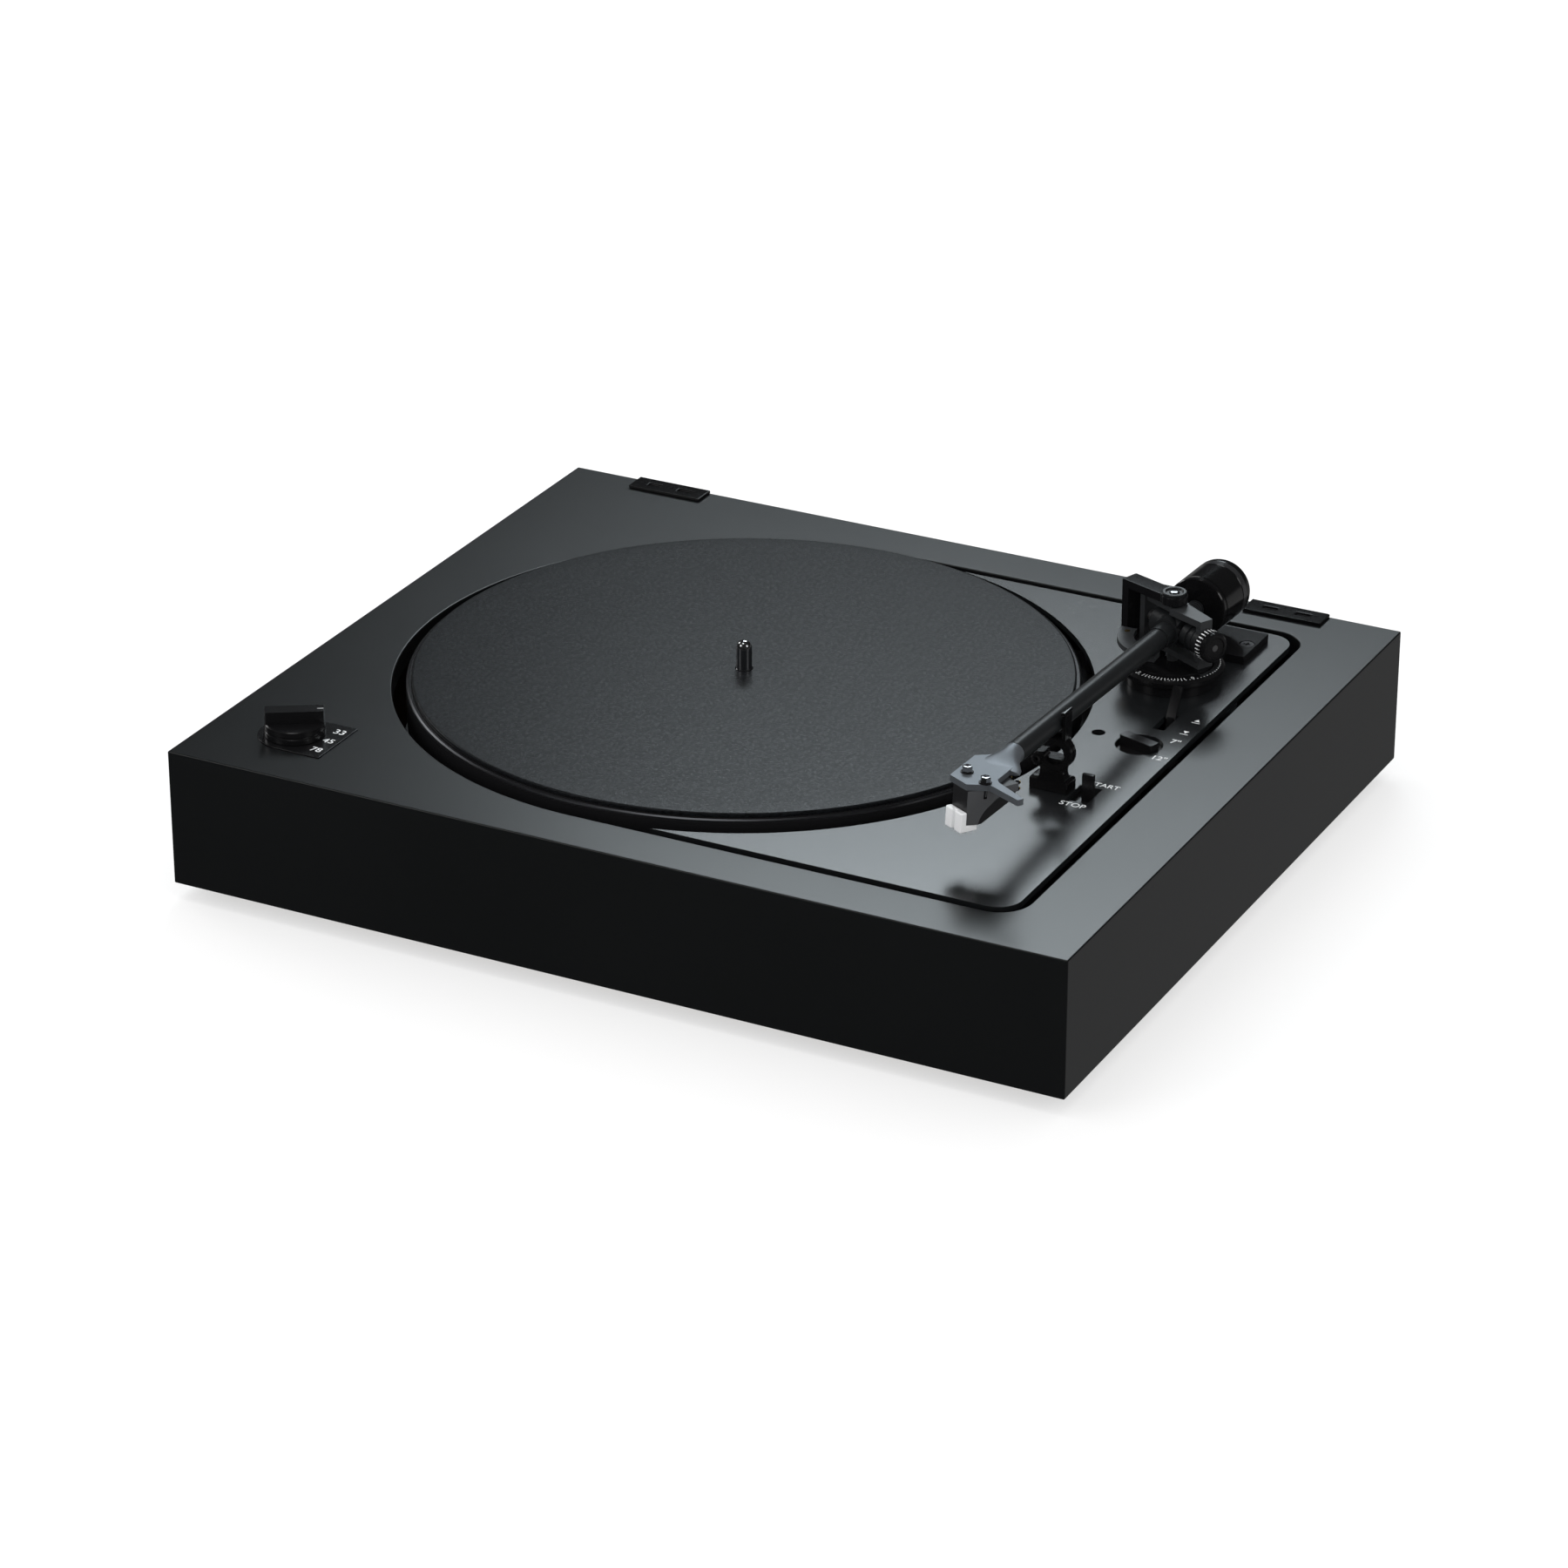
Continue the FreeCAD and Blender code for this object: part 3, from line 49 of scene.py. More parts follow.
headSpot = (-1.65, -201.8, 0)    # from the pivot to the middle between the shell's screws
inkThick = 0.06
print("frame loaded, top surface at", round(deck, 2))


# ---- small steps that every piece uses
def startFresh():
    if bpy.context.object and bpy.context.object.mode != "OBJECT":
        bpy.ops.object.mode_set(mode="OBJECT")
    bpy.ops.object.select_all(action="DESELECT")


def activate(piece):
    startFresh()
    piece.select_set(True)
    bpy.context.view_layer.objects.active = piece


def applyAll(piece):
    activate(piece)
    for modifier in list(piece.modifiers):
        bpy.ops.object.modifier_apply(modifier=modifier.name)


def place(piece, matrix):
    activate(piece)
    piece.matrix_world = matrix @ piece.matrix_world
    bpy.ops.object.transform_apply(location=True, rotation=True, scale=True)
    return piece


def soften(piece, width, segments=2, angle=32):
    # rounds every sharp edge, so that it catches a line of light
    bevel = piece.modifiers.new("softEdge", "BEVEL")
    bevel.width = width * mm
    bevel.segments = segments
    bevel.limit_method = "ANGLE"
    bevel.angle_limit = math.radians(angle)
    bevel.use_clamp_overlap = True
    applyAll(piece)
    return piece


def settle(piece, name, body, material, replaces=(), smooth=38):
    activate(piece)
    bpy.ops.object.transform_apply(location=True, rotation=True, scale=True)
    piece.name = name
    piece.data.name = name
    piece.data.materials.clear()
    piece.data.materials.append(material)
    bpy.ops.object.shade_smooth_by_angle(angle=math.radians(smooth))
    # keeps broad faces flat beside their soft edges
    weighted = piece.modifiers.new("flatFaces", "WEIGHTED_NORMAL")
    weighted.keep_sharp = True
    bpy.ops.object.modifier_apply(modifier=weighted.name)
    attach(piece, body)
    if replaces:
        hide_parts(*replaces)
    return piece


def block(low, high):
    startFresh()
    centre = [(a + b) / 2 * mm for a, b in zip(low, high)]
    bpy.ops.mesh.primitive_cube_add(size=1, location=centre)
    piece = bpy.context.object
    piece.scale = [(b - a) * mm for a, b in zip(low, high)]
    bpy.ops.object.transform_apply(location=True, rotation=True, scale=True)
    return piece


def carve(piece, tool, kind="DIFFERENCE"):
    boolean = piece.modifiers.new("carve", "BOOLEAN")
    boolean.operation = kind
    boolean.solver = "EXACT"
    boolean.object = tool
    applyAll(piece)
    bpy.data.objects.remove(tool)
    return piece


def lathe(rings, vertices=96, hollow=False):
    # pulls a circle up through (radius, height) rings; a hollow one ends on its first ring
    startFresh()
    radius, height = rings[0]
    bpy.ops.mesh.primitive_circle_add(vertices=vertices, radius=radius * mm, location=(0, 0, height * mm))
    piece = bpy.context.object
    bpy.ops.object.transform_apply(location=True, rotation=True, scale=True)
    bpy.ops.object.mode_set(mode="EDIT")
    bpy.ops.mesh.select_mode(type="VERT")
    bpy.ops.mesh.select_all(action="SELECT")
    for nextRadius, nextHeight in rings[1:]:
        rise = (nextHeight - height) * mm
        bpy.ops.mesh.extrude_region_move(TRANSFORM_OT_translate={"value": (0, 0, rise)})
        factor = nextRadius / radius
        bpy.ops.transform.resize(value=(factor, factor, 1), center_override=(0, 0, 0))
        radius, height = nextRadius, nextHeight
    bpy.ops.mesh.select_all(action="SELECT")
    bpy.ops.mesh.remove_doubles(threshold=1e-7 if not hollow else 1e-6)
    if not hollow:
        bpy.ops.mesh.fill_holes(sides=0)
    bpy.ops.mesh.normals_make_consistent(inside=False)
    bpy.ops.object.mode_set(mode="OBJECT")
    return piece


def join(pieces):
    startFresh()
    for piece in pieces:
        piece.select_set(True)
    bpy.context.view_layer.objects.active = pieces[0]
    bpy.ops.object.join()
    return bpy.context.object


def fromNode(node):
    # a merged copy of a CAD node, with its flat faces whole again
    piece = bpy.data.objects.new(node + "Copy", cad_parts[node].data.copy())
    bpy.context.scene.collection.objects.link(piece)
    activate(piece)
    bpy.ops.object.mode_set(mode="EDIT")
    bpy.ops.mesh.select_all(action="SELECT")
    bpy.ops.mesh.remove_doubles(threshold=1e-6)
    bpy.ops.mesh.dissolve_limited(angle_limit=math.radians(1.0))
    bpy.ops.object.mode_set(mode="OBJECT")
    return piece


def pickFaces(piece, wanted):
    # selects faces by place or normal and opens edit mode
    activate(piece)
    bpy.ops.object.mode_set(mode="EDIT")
    bpy.ops.mesh.select_mode(type="FACE")
    bpy.ops.mesh.select_all(action="DESELECT")
    bpy.ops.object.mode_set(mode="OBJECT")
    for face in piece.data.polygons:
        face.select = bool(wanted(face))
    bpy.ops.object.mode_set(mode="EDIT")


def knurl(piece, wanted, inset, depth):
    # presses each wanted face inwards on its own
    pickFaces(piece, wanted)
    bpy.ops.mesh.inset(thickness=inset * mm, depth=-depth * mm, use_individual=True)
    bpy.ops.object.mode_set(mode="OBJECT")
    return piece


def spinCopies(piece, count, degrees):
    # repeats a mark round the upright axis through the origin
    activate(piece)
    bpy.ops.object.mode_set(mode="EDIT")
    bpy.ops.mesh.select_all(action="SELECT")
    bpy.ops.mesh.spin(steps=count, angle=math.radians(degrees), center=(0, 0, 0), axis=(0, 0, 1),
                      dupli=True)
    bpy.ops.object.mode_set(mode="OBJECT")
    return piece


def words(text, width, at, turn=0):
    # printed letters of a given overall width, a little heavier than the plain font
    startFresh()
    bpy.ops.object.text_add(location=(0, 0, 0))
    piece = bpy.context.object
    piece.data.body = text
    piece.data.size = 1
    piece.data.offset = 0.004
    piece.data.align_x = "CENTER"
    piece.data.align_y = "CENTER"
    piece.data.extrude = 0.5
    bpy.ops.object.convert(target="MESH")
    piece = bpy.context.object
    factor = width * mm / piece.dimensions.x
    piece.scale = (factor, factor, inkThick * mm)
    bpy.ops.object.transform_apply(location=True, rotation=True, scale=True)
    spot = Matrix.Translation(Vector(at) * mm) @ Matrix.Rotation(math.radians(turn), 4, "Z")
    return place(piece, spot)


def level(turn, height=deck):
    # over the arm's pivot, turned clockwise seen from above
    return (Matrix.Translation(Vector((pivot[0], pivot[1], height)) * mm)
            @ Matrix.Rotation(math.radians(-turn), 4, "Z"))


def armPlace():
    turn = math.radians(bearingTurn)
    axis = Vector((-math.cos(turn), math.sin(turn), 0))
    return Matrix.Translation(Vector(pivot) * mm) @ Matrix.Rotation(math.radians(restTilt), 4, axis)


def headPlace():
    return (armPlace() @ Matrix.Translation(Vector(headSpot) * mm)
            @ Matrix.Rotation(math.radians(-bearingTurn), 4, "Z"))


alongX = Matrix.Rotation(math.radians(90), 4, "Y")
alongY = Matrix.Rotation(math.radians(-90), 4, "X")


# ---- shared texture groups
def group(name, inputs, outputs):
    tree = bpy.data.node_groups.new(name, "ShaderNodeTree")
    for label, kind, value in inputs:
        socket = tree.interface.new_socket(name=label, in_out="INPUT", socket_type=kind)
        socket.default_value = value
    for label, kind in outputs:
        tree.interface.new_socket(name=label, in_out="OUTPUT", socket_type=kind)
    return tree, tree.nodes.new("NodeGroupInput"), tree.nodes.new("NodeGroupOutput")


def noise(tree, coords, scale, detail=4.0, rough=0.55):
    node = tree.nodes.new("ShaderNodeTexNoise")
    node.inputs["Detail"].default_value = detail
    node.inputs["Roughness"].default_value = rough
    tree.links.new(coords, node.inputs["Vector"])
    if hasattr(scale, "links"):
        tree.links.new(scale, node.inputs["Scale"])
    else:
        node.inputs["Scale"].default_value = scale
    return node


def sums(tree, operation, first, second, third=None):
    node = tree.nodes.new("ShaderNodeMath")
    node.operation = operation
    for slotIndex, value in enumerate((first, second, third)):
        if value is None:
            continue
        if hasattr(value, "links"):
            tree.links.new(value, node.inputs[slotIndex])
        else:
            node.inputs[slotIndex].default_value = value
    return node.outputs[0]


def makeGrain():
    # soft blotches in colour and gloss, and a fine texture in the surface
    tree, into, out = group("finishGrain", [
        ("Color", "NodeSocketColor", (0.02, 0.02, 0.02, 1)), ("Blotch", "NodeSocketFloat", 0.2),
        ("BlotchScale", "NodeSocketFloat", 12.0), ("Roughness", "NodeSocketFloat", 0.4),
        ("RoughSpread", "NodeSocketFloat", 0.06), ("GrainScale", "NodeSocketFloat", 900.0),
        ("GrainDepth", "NodeSocketFloat", 0.1)],
        [("Color", "NodeSocketColor"), ("Roughness", "NodeSocketFloat"), ("Normal", "NodeSocketVector")])
    coords = tree.nodes.new("ShaderNodeTexCoord").outputs["Object"]
    cloud = noise(tree, coords, into.outputs["BlotchScale"], 5.0).outputs[0]
    fine = noise(tree, coords, into.outputs["GrainScale"], 3.0, 0.6).outputs[0]
    centred = sums(tree, "SUBTRACT", cloud, 0.5)
    shade = sums(tree, "MULTIPLY_ADD", centred, into.outputs["Blotch"], 1.0)
    mix = tree.nodes.new("ShaderNodeVectorMath")
    mix.operation = "SCALE"
    tree.links.new(into.outputs["Color"], mix.inputs[0])
    tree.links.new(shade, mix.inputs["Scale"])
    tree.links.new(mix.outputs[0], out.inputs["Color"])
    speckle = sums(tree, "ADD", centred, sums(tree, "MULTIPLY", sums(tree, "SUBTRACT", fine, 0.5), 0.6))
    gloss = sums(tree, "MULTIPLY_ADD", speckle, into.outputs["RoughSpread"], into.outputs["Roughness"])
    tree.links.new(gloss, out.inputs["Roughness"])
    bump = tree.nodes.new("ShaderNodeBump")
    bump.inputs["Distance"].default_value = 0.0001
    tree.links.new(into.outputs["GrainDepth"], bump.inputs["Strength"])
    tree.links.new(fine, bump.inputs["Height"])
    tree.links.new(bump.outputs[0], out.inputs["Normal"])
    return tree


feltWeave = {"strandTurns": (0.35, 0.85), "strandStretches": (3.6, 2.6), "strandShares": (0.55, 0.35),
             "knotScale": 1300.0, "knotShare": 0.30, "darkBelow": 0.55, "lightAbove": 0.67,
             "darkRoughness": 0.38, "lightSmoother": -0.12, "bump": 0.0001}


def makeFelt():
    # short fibres pressed in two directions, with lighter and darker strands
    tree, into, out = group("feltFibres", [
        ("Dark", "NodeSocketColor", (0.02, 0.02, 0.02, 1)), ("Light", "NodeSocketColor", (0.1, 0.1, 0.1, 1)),
        ("FibreScale", "NodeSocketFloat", 1900.0), ("Depth", "NodeSocketFloat", 0.6)],
        [("Color", "NodeSocketColor"), ("Roughness", "NodeSocketFloat"), ("Normal", "NodeSocketVector")])
    coords = tree.nodes.new("ShaderNodeTexCoord").outputs["Object"]
    strands = []
    for turn, stretch in zip(feltWeave["strandTurns"], feltWeave["strandStretches"]):
        mapping = tree.nodes.new("ShaderNodeMapping")
        mapping.vector_type = "TEXTURE"
        mapping.inputs["Rotation"].default_value = (0, 0, turn)
        mapping.inputs["Scale"].default_value = (stretch, 1, 1)
        tree.links.new(coords, mapping.inputs["Vector"])
        strands.append(noise(tree, mapping.outputs[0], into.outputs["FibreScale"], 5.0, 0.7).outputs[0])
    knots = noise(tree, coords, feltWeave["knotScale"], 3.0, 0.75).outputs[0]
    fibres = sums(tree, "MULTIPLY", knots, feltWeave["knotShare"])
    for strand, share in zip(strands, feltWeave["strandShares"]):
        fibres = sums(tree, "MULTIPLY_ADD", strand, share, fibres)
    spread = tree.nodes.new("ShaderNodeMapRange")
    spread.inputs["From Min"].default_value = feltWeave["darkBelow"]
    spread.inputs["From Max"].default_value = feltWeave["lightAbove"]
    tree.links.new(fibres, spread.inputs["Value"])
    mix = tree.nodes.new("ShaderNodeMix")
    mix.data_type = "RGBA"
    tree.links.new(spread.outputs[0], mix.inputs["Factor"])
    tree.links.new(into.outputs["Dark"], mix.inputs[6])
    tree.links.new(into.outputs["Light"], mix.inputs[7])
    tree.links.new(mix.outputs[2], out.inputs["Color"])
    gloss = sums(tree, "MULTIPLY_ADD", spread.outputs[0], feltWeave["lightSmoother"],
                 feltWeave["darkRoughness"])
    tree.links.new(gloss, out.inputs["Roughness"])
    bump = tree.nodes.new("ShaderNodeBump")
    bump.inputs["Distance"].default_value = feltWeave["bump"]
    tree.links.new(into.outputs["Depth"], bump.inputs["Strength"])
    tree.links.new(fibres, bump.inputs["Height"])
    tree.links.new(bump.outputs[0], out.inputs["Normal"])
    return tree


grainGroup = makeGrain()
feltGroup = makeFelt()


def finish(name, colour, roughness, metallic=0.0, blotch=0.25, blotchScale=14.0, roughSpread=0.08,
           grainScale=900.0, grainDepth=0.1, specular=0.5, coat=0.0, coatRough=0.15):
    material = bpy.data.materials.new(name)
    material.use_nodes = True
    tree = material.node_tree
    shader = tree.nodes["Principled BSDF"]
    grain = tree.nodes.new("ShaderNodeGroup")
    grain.node_tree = grainGroup
    grain.inputs["Color"].default_value = (*colour, 1)
    settings = {"Blotch": blotch, "BlotchScale": blotchScale, "Roughness": roughness,
                "RoughSpread": roughSpread, "GrainScale": grainScale, "GrainDepth": grainDepth}
    for label, value in settings.items():
        grain.inputs[label].default_value = value
    tree.links.new(grain.outputs["Color"], shader.inputs["Base Color"])
    tree.links.new(grain.outputs["Roughness"], shader.inputs["Roughness"])
    tree.links.new(grain.outputs["Normal"], shader.inputs["Normal"])
    shader.inputs["Metallic"].default_value = metallic
    shader.inputs["Specular IOR Level"].default_value = specular
    shader.inputs["Coat Weight"].default_value = coat
    shader.inputs["Coat Roughness"].default_value = coatRough
    return material


plinthPaint = finish("plinthPaint", (0.0045, 0.0050, 0.0054), 0.29, blotch=0.3, blotchScale=9,
                     roughSpread=0.05, grainScale=1500, grainDepth=0.10)
panelPaint = finish("panelPaint", (0.008, 0.009, 0.0098), 0.26, blotch=0.2, blotchScale=11,
                    roughSpread=0.05, grainScale=1700, grainDepth=0.12, specular=0.85)
platterMetal = finish("platterMetal", (0.012, 0.012, 0.013), 0.25, metallic=0.3, blotch=0.2,
                      grainScale=700, grainDepth=0.05)
rimPolish = finish("rimPolish", (0.09, 0.093, 0.10), 0.30, metallic=1.0, blotch=0.3, grainScale=1200)
chromePolish = finish("chromePolish", (0.55, 0.56, 0.58), 0.14, metallic=1.0, blotch=0.15, grainDepth=0.03)
zincPlate = finish("zincPlate", (0.42, 0.42, 0.43), 0.36, metallic=1.0, blotch=0.4, grainScale=500)
armAnodise = finish("armAnodise", (0.010, 0.011, 0.012), 0.36, blotch=0.2, grainScale=1800,
                    grainDepth=0.12)
weightBlack = finish("weightBlack", (0.004, 0.004, 0.0043), 0.15, blotch=0.2, grainDepth=0.03)
bandGrey = finish("bandGrey", (0.05, 0.05, 0.053), 0.22, metallic=0.6, blotch=0.2, grainScale=1500)
gimbalPaint = finish("gimbalPaint", (0.030, 0.032, 0.034), 0.36, metallic=0.1, blotch=0.25,
                     grainScale=1400, grainDepth=0.15)
blackMoulding = finish("blackMoulding", (0.0055, 0.0055, 0.006), 0.22, blotch=0.3, grainScale=1300,
                       grainDepth=0.16, specular=0.42)
glossMoulding = finish("glossMoulding", (0.0035, 0.0035, 0.0038), 0.11, blotch=0.2, grainScale=800,
                       grainDepth=0.05)
bridgeBlack = finish("bridgeBlack", (0.006, 0.006, 0.0066), 0.17, blotch=0.2, grainScale=1200,
                     grainDepth=0.08, specular=0.22)
socketBlack = finish("socketBlack", (0.004, 0.004, 0.0044), 0.13, blotch=0.2, grainScale=800,
                     grainDepth=0.05, specular=0.4)
headAlloy = finish("headAlloy", (0.17, 0.186, 0.205), 0.42, metallic=0.7, blotch=0.12,
                   grainScale=2600, grainDepth=0.22)
cartridgeBlack = finish("cartridgeBlack", (0.012, 0.012, 0.013), 0.3, blotch=0.2, grainScale=1500)
cartridgeGrey = finish("cartridgeGrey", (0.062, 0.064, 0.068), 0.42, blotch=0.2, grainScale=1500)
stylusWhite = finish("stylusWhite", (0.78, 0.79, 0.80), 0.28, blotch=0.06, grainScale=900, grainDepth=0.04,
                     coat=0.2)
inkWhite = finish("inkWhite", (0.72, 0.74, 0.75), 0.55, blotch=0.1, grainScale=2000)
brassTurned = finish("brassTurned", (0.62, 0.44, 0.16), 0.26, metallic=1.0, blotch=0.4, grainScale=900)
bronzeSinter = finish("bronzeSinter", (0.34, 0.22, 0.11), 0.5, metallic=0.9, blotch=0.5, grainScale=700,
                      grainDepth=0.4)
rubberBlack = finish("rubberBlack", (0.012, 0.012, 0.012), 0.75, blotch=0.3, grainScale=600,
                     grainDepth=0.35)
beltRubber = finish("beltRubber", (0.016, 0.016, 0.016), 0.6, blotch=0.3, grainScale=500,
                    grainDepth=0.3)
nylonWhite = finish("nylonWhite", (0.68, 0.66, 0.60), 0.45, blotch=0.1, grainScale=500,
                    grainDepth=0.15)
panSteel = finish("panSteel", (0.018, 0.018, 0.020), 0.5, metallic=0.2, blotch=0.4, grainScale=400,
                  grainDepth=0.4)
fibreBoard = finish("fibreBoard", (0.20, 0.13, 0.075), 0.85, blotch=0.5, blotchScale=60, grainScale=700,
                    grainDepth=0.6)
boardGreen = finish("boardGreen", (0.02, 0.12, 0.045), 0.35, blotch=0.4, blotchScale=70, grainScale=400)


def feltMaterial():
    material = bpy.data.materials.new("charcoalFelt")
    material.use_nodes = True
    tree = material.node_tree
    shader = tree.nodes["Principled BSDF"]
    fibres = tree.nodes.new("ShaderNodeGroup")
    fibres.node_tree = feltGroup
    fibres.inputs["Dark"].default_value = (0.0012, 0.0013, 0.0015, 1)
    fibres.inputs["Light"].default_value = (0.0105, 0.012, 0.014, 1)
    fibres.inputs["Depth"].default_value = 0.35
    tree.links.new(fibres.outputs["Color"], shader.inputs["Base Color"])
    tree.links.new(fibres.outputs["Roughness"], shader.inputs["Roughness"])
    tree.links.new(fibres.outputs["Normal"], shader.inputs["Normal"])
    shader.inputs["Sheen Weight"].default_value = 0.01
    shader.inputs["Sheen Roughness"].default_value = 0.5
    shader.inputs["Specular IOR Level"].default_value = 0.15
    return material


charcoalFelt = feltMaterial()
print("finishes mixed")

# ---- CAD nodes that stay as they are: each gets its finish
nodeFinish = {
    "bottom_cover": fibreBoard, "foot_screws": zincPlate, "chassis_pan": panSteel,
    "suspension_springs": zincPlate, "bearing_sleeve": bronzeSinter, "thrust_ball": chromePolish,
    "motor": zincPlate, "motor_pulley": brassTurned, "drive_belt": beltRubber, "spindle_pinion": nylonWhite,
    "cam_wheel": nylonWhite, "cam_axle": zincPlate, "gimbal_pins": zincPlate, "lift_damper": zincPlate,
    "cue_bracket": panSteel, "size_switch": blackMoulding, "speed_switch": blackMoulding,
    "height_screw": brassTurned, "stylus": chromePolish, "cartridge_pins": brassTurned,
    "phono_sockets": brassTurned, "power_inlet": glossMoulding, "circuit_board": boardGreen,
    "start_guide": blackMoulding}
for node, material in nodeFinish.items():
    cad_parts[node].data.materials.clear()
    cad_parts[node].data.materials.append(material)

# ---- plinth: one seamless painted shell, hollow from below
plinth = {"width": 430, "depth": 365, "low": 8, "wall": 14, "topBoard": 10, "edge": 0.7,
          "cutRadius": 157.3, "cutRight": 180.3, "cutCorner": 15, "platterX": -27.5,
          "windowX": (-63, 23), "windowZ": (22, 52), "knobAt": (-174.5, -142.5), "knobHole": 3.4}


def makePlinth():
    halfWidth, halfDepth = plinth["width"] / 2, plinth["depth"] / 2
    shell = block((-halfWidth, -halfDepth, plinth["low"]), (halfWidth, halfDepth, deck))
    inX, inY = halfWidth - plinth["wall"], halfDepth - plinth["wall"]
    carve(shell, block((-inX, -inY, 0), (inX, inY, deck - plinth["topBoard"])))
    bpy.ops.mesh.primitive_cylinder_add(vertices=256, radius=plinth["cutRadius"] * mm, depth=0.04,
                                        location=(plinth["platterX"] * mm, 0, deck * mm))
    carve(shell, bpy.context.object)
    square = block((plinth["platterX"], -plinth["cutRadius"], deck - 20),
                   (plinth["cutRight"], plinth["cutRadius"], deck + 20))
    activate(square)
    bpy.ops.object.mode_set(mode="EDIT")
    bpy.ops.mesh.select_mode(type="EDGE")
    bpy.ops.mesh.select_all(action="DESELECT")
    bpy.ops.object.mode_set(mode="OBJECT")
    points = square.data.vertices
    for edge in square.data.edges:
        a, b = (points[i].co for i in edge.vertices)
        edge.select = min(a.x, b.x) > plinth["cutRight"] * mm - 1e-5 and abs(a.z - b.z) > 0.01
    bpy.ops.object.mode_set(mode="EDIT")
    bpy.ops.mesh.bevel(offset=plinth["cutCorner"] * mm, segments=24, affect="EDGES")
    bpy.ops.object.mode_set(mode="OBJECT")
    carve(shell, square)
    (left, right), (low, high) = plinth["windowX"], plinth["windowZ"]
    carve(shell, block((left, halfDepth - 30, low), (right, halfDepth + 10, high)))
    knobX, knobY = plinth["knobAt"]
    bpy.ops.mesh.primitive_cylinder_add(vertices=32, radius=plinth["knobHole"] * mm, depth=0.04,
                                        location=(knobX * mm, knobY * mm, deck * mm))
    carve(shell, bpy.context.object)
    soften(shell, plinth["edge"], 3)
    settle(shell, "plinthShell", "plinth", plinthPaint,
           ("plinth_top", "plinth_front", "plinth_back", "plinth_left", "plinth_right"))


makePlinth()
print("plinth done")

# ---- CAD nodes whose edges only need rounding: node, new name, body, finish, slot, edge width
roundedNodes = [
    ("rubber_feet", "rubberFeet", "plinth", rubberBlack, "rubber_black", 0.6),
    ("arm_panel", "armPanel", "plinth", panelPaint, "panel_grey", 0.35),
    ("arm_base", "armBase", "plinth", bridgeBlack, "black_plastic", 0.35),
    ("base_screws", "baseScrews", "plinth", panSteel, "pan_steel", 0.12),
    ("bearing_bridge", "bearingBridge", "plinth", bridgeBlack, "arm_black", 0.6),
    ("gimbal_frame", "gimbalFrame", "swivel", gimbalPaint, "gimbal_grey", 0.45),
    ("arm_collar", "armCollar", "tonearm", armAnodise, "gimbal_grey", 0.3),
    ("lift_plate", "liftPlate", "lift", gimbalPaint, "gimbal_grey", 0.4),
    ("cue_lever", "cueLever", "cue_lever", blackMoulding, "black_plastic", 0.3),
    ("start_lever", "startLever", "start_lever", blackMoulding, "black_plastic", 0.35),
    ("size_knob", "sizeKnob", "size_knob", blackMoulding, "black_plastic", 0.45),
    ("speed_plate", "speedPlate", "plinth", blackMoulding, "black_plastic", 0.2),
    ("rest_button", "restButton", "rest_button", glossMoulding, "gloss_black", 0.35),
    ("lid_sockets", "lidSockets", "plinth", socketBlack, "gloss_black", 0.45),
    ("socket_panel", "socketPanel", "plinth", blackMoulding, "black_plastic", 0.3),
]
for node, name, body, material, slot, width in roundedNodes:
    piece = soften(fromNode(node), width, 3 if width > 0.4 else 2)
    settle(piece, name, body, material, (node,))
print("edges rounded")

# ---- arm rest: foot, waisted neck, open ring with a curl beside it, and the fence behind the tube
rest = {"x": 142.5, "y": -39.5, "ringX": 145, "ringY": -42, "ringZ": 90.65, "outer": 8, "inner": 4.8,
        "deep": 6, "fenceX": 148.05, "fenceWide": 1.6, "fenceTop": 109}


def makeRest():
    x, y, z, deep = rest["x"], rest["y"], rest["ringZ"], rest["deep"]
    foot = block((x - 9.5, y - 4, deck), (x + 8.5, y + 5, deck + 5))
    pickFaces(foot, lambda face: face.normal.z > 0.9)
    bpy.ops.mesh.inset(thickness=1.1 * mm, depth=0.9 * mm)
    bpy.ops.object.mode_set(mode="OBJECT")
    neck = lathe([(8.6, 0), (8.2, 1.2), (7.2, 3.2), (7.0, 5.2), (7.6, 7.6), (8.4, 9.8), (8.4, 12.2)], 4)
    place(neck, Matrix.Rotation(math.radians(45), 4, "Z"))
    place(neck, Matrix.Translation(((x + 0.8) * mm, (y - 0.9) * mm, (deck + 4.8) * mm))
          @ Matrix.Diagonal((1.08, 0.52, 0.92, 1)))
    x, y = rest["ringX"], rest["ringY"]
    outer, inner, half = rest["outer"], rest["inner"], deep / 2
    ring = lathe([(inner, -half), (outer - 0.5, -half), (outer, -half + 0.5), (outer, -0.5), (outer - 0.6, 0),
                  (outer, 0.5), (outer, half - 0.5), (outer - 0.5, half), (inner, half), (inner, -half)], 72,
                 hollow=True)
    place(ring, Matrix.Translation((x * mm, y * mm, z * mm)) @ alongY)
    carve(ring, block((x - outer - 1, y - 10, z + 0.2), (x, y + 10, z + 3.4)))
    curl = lathe([(0.8, -half), (2.4, -half), (2.8, -half + 0.4), (2.8, half - 0.4), (2.4, half), (0.8, half),
                  (0.8, -half)], 40, hollow=True)
    place(curl, Matrix.Translation(((x - outer + 0.2) * mm, (y - 0.4) * mm, (z - 3.6) * mm)) @ alongY)
    body = neck
    for piece in (ring, curl):
        carve(body, piece, "UNION")
    soften(body, 0.35, 3)
    low = rest["fenceX"]
    fence = block((low, y - 2, z + 3.4), (low + rest["fenceWide"], y + 5, rest["fenceTop"]))
    foot, fence = soften(foot, 0.4, 3), soften(fence, 0.3, 3)
    settle(join([body, foot, fence]), "armRest", "plinth", glossMoulding, ("arm_rest",))


makeRest()
print("arm rest done")

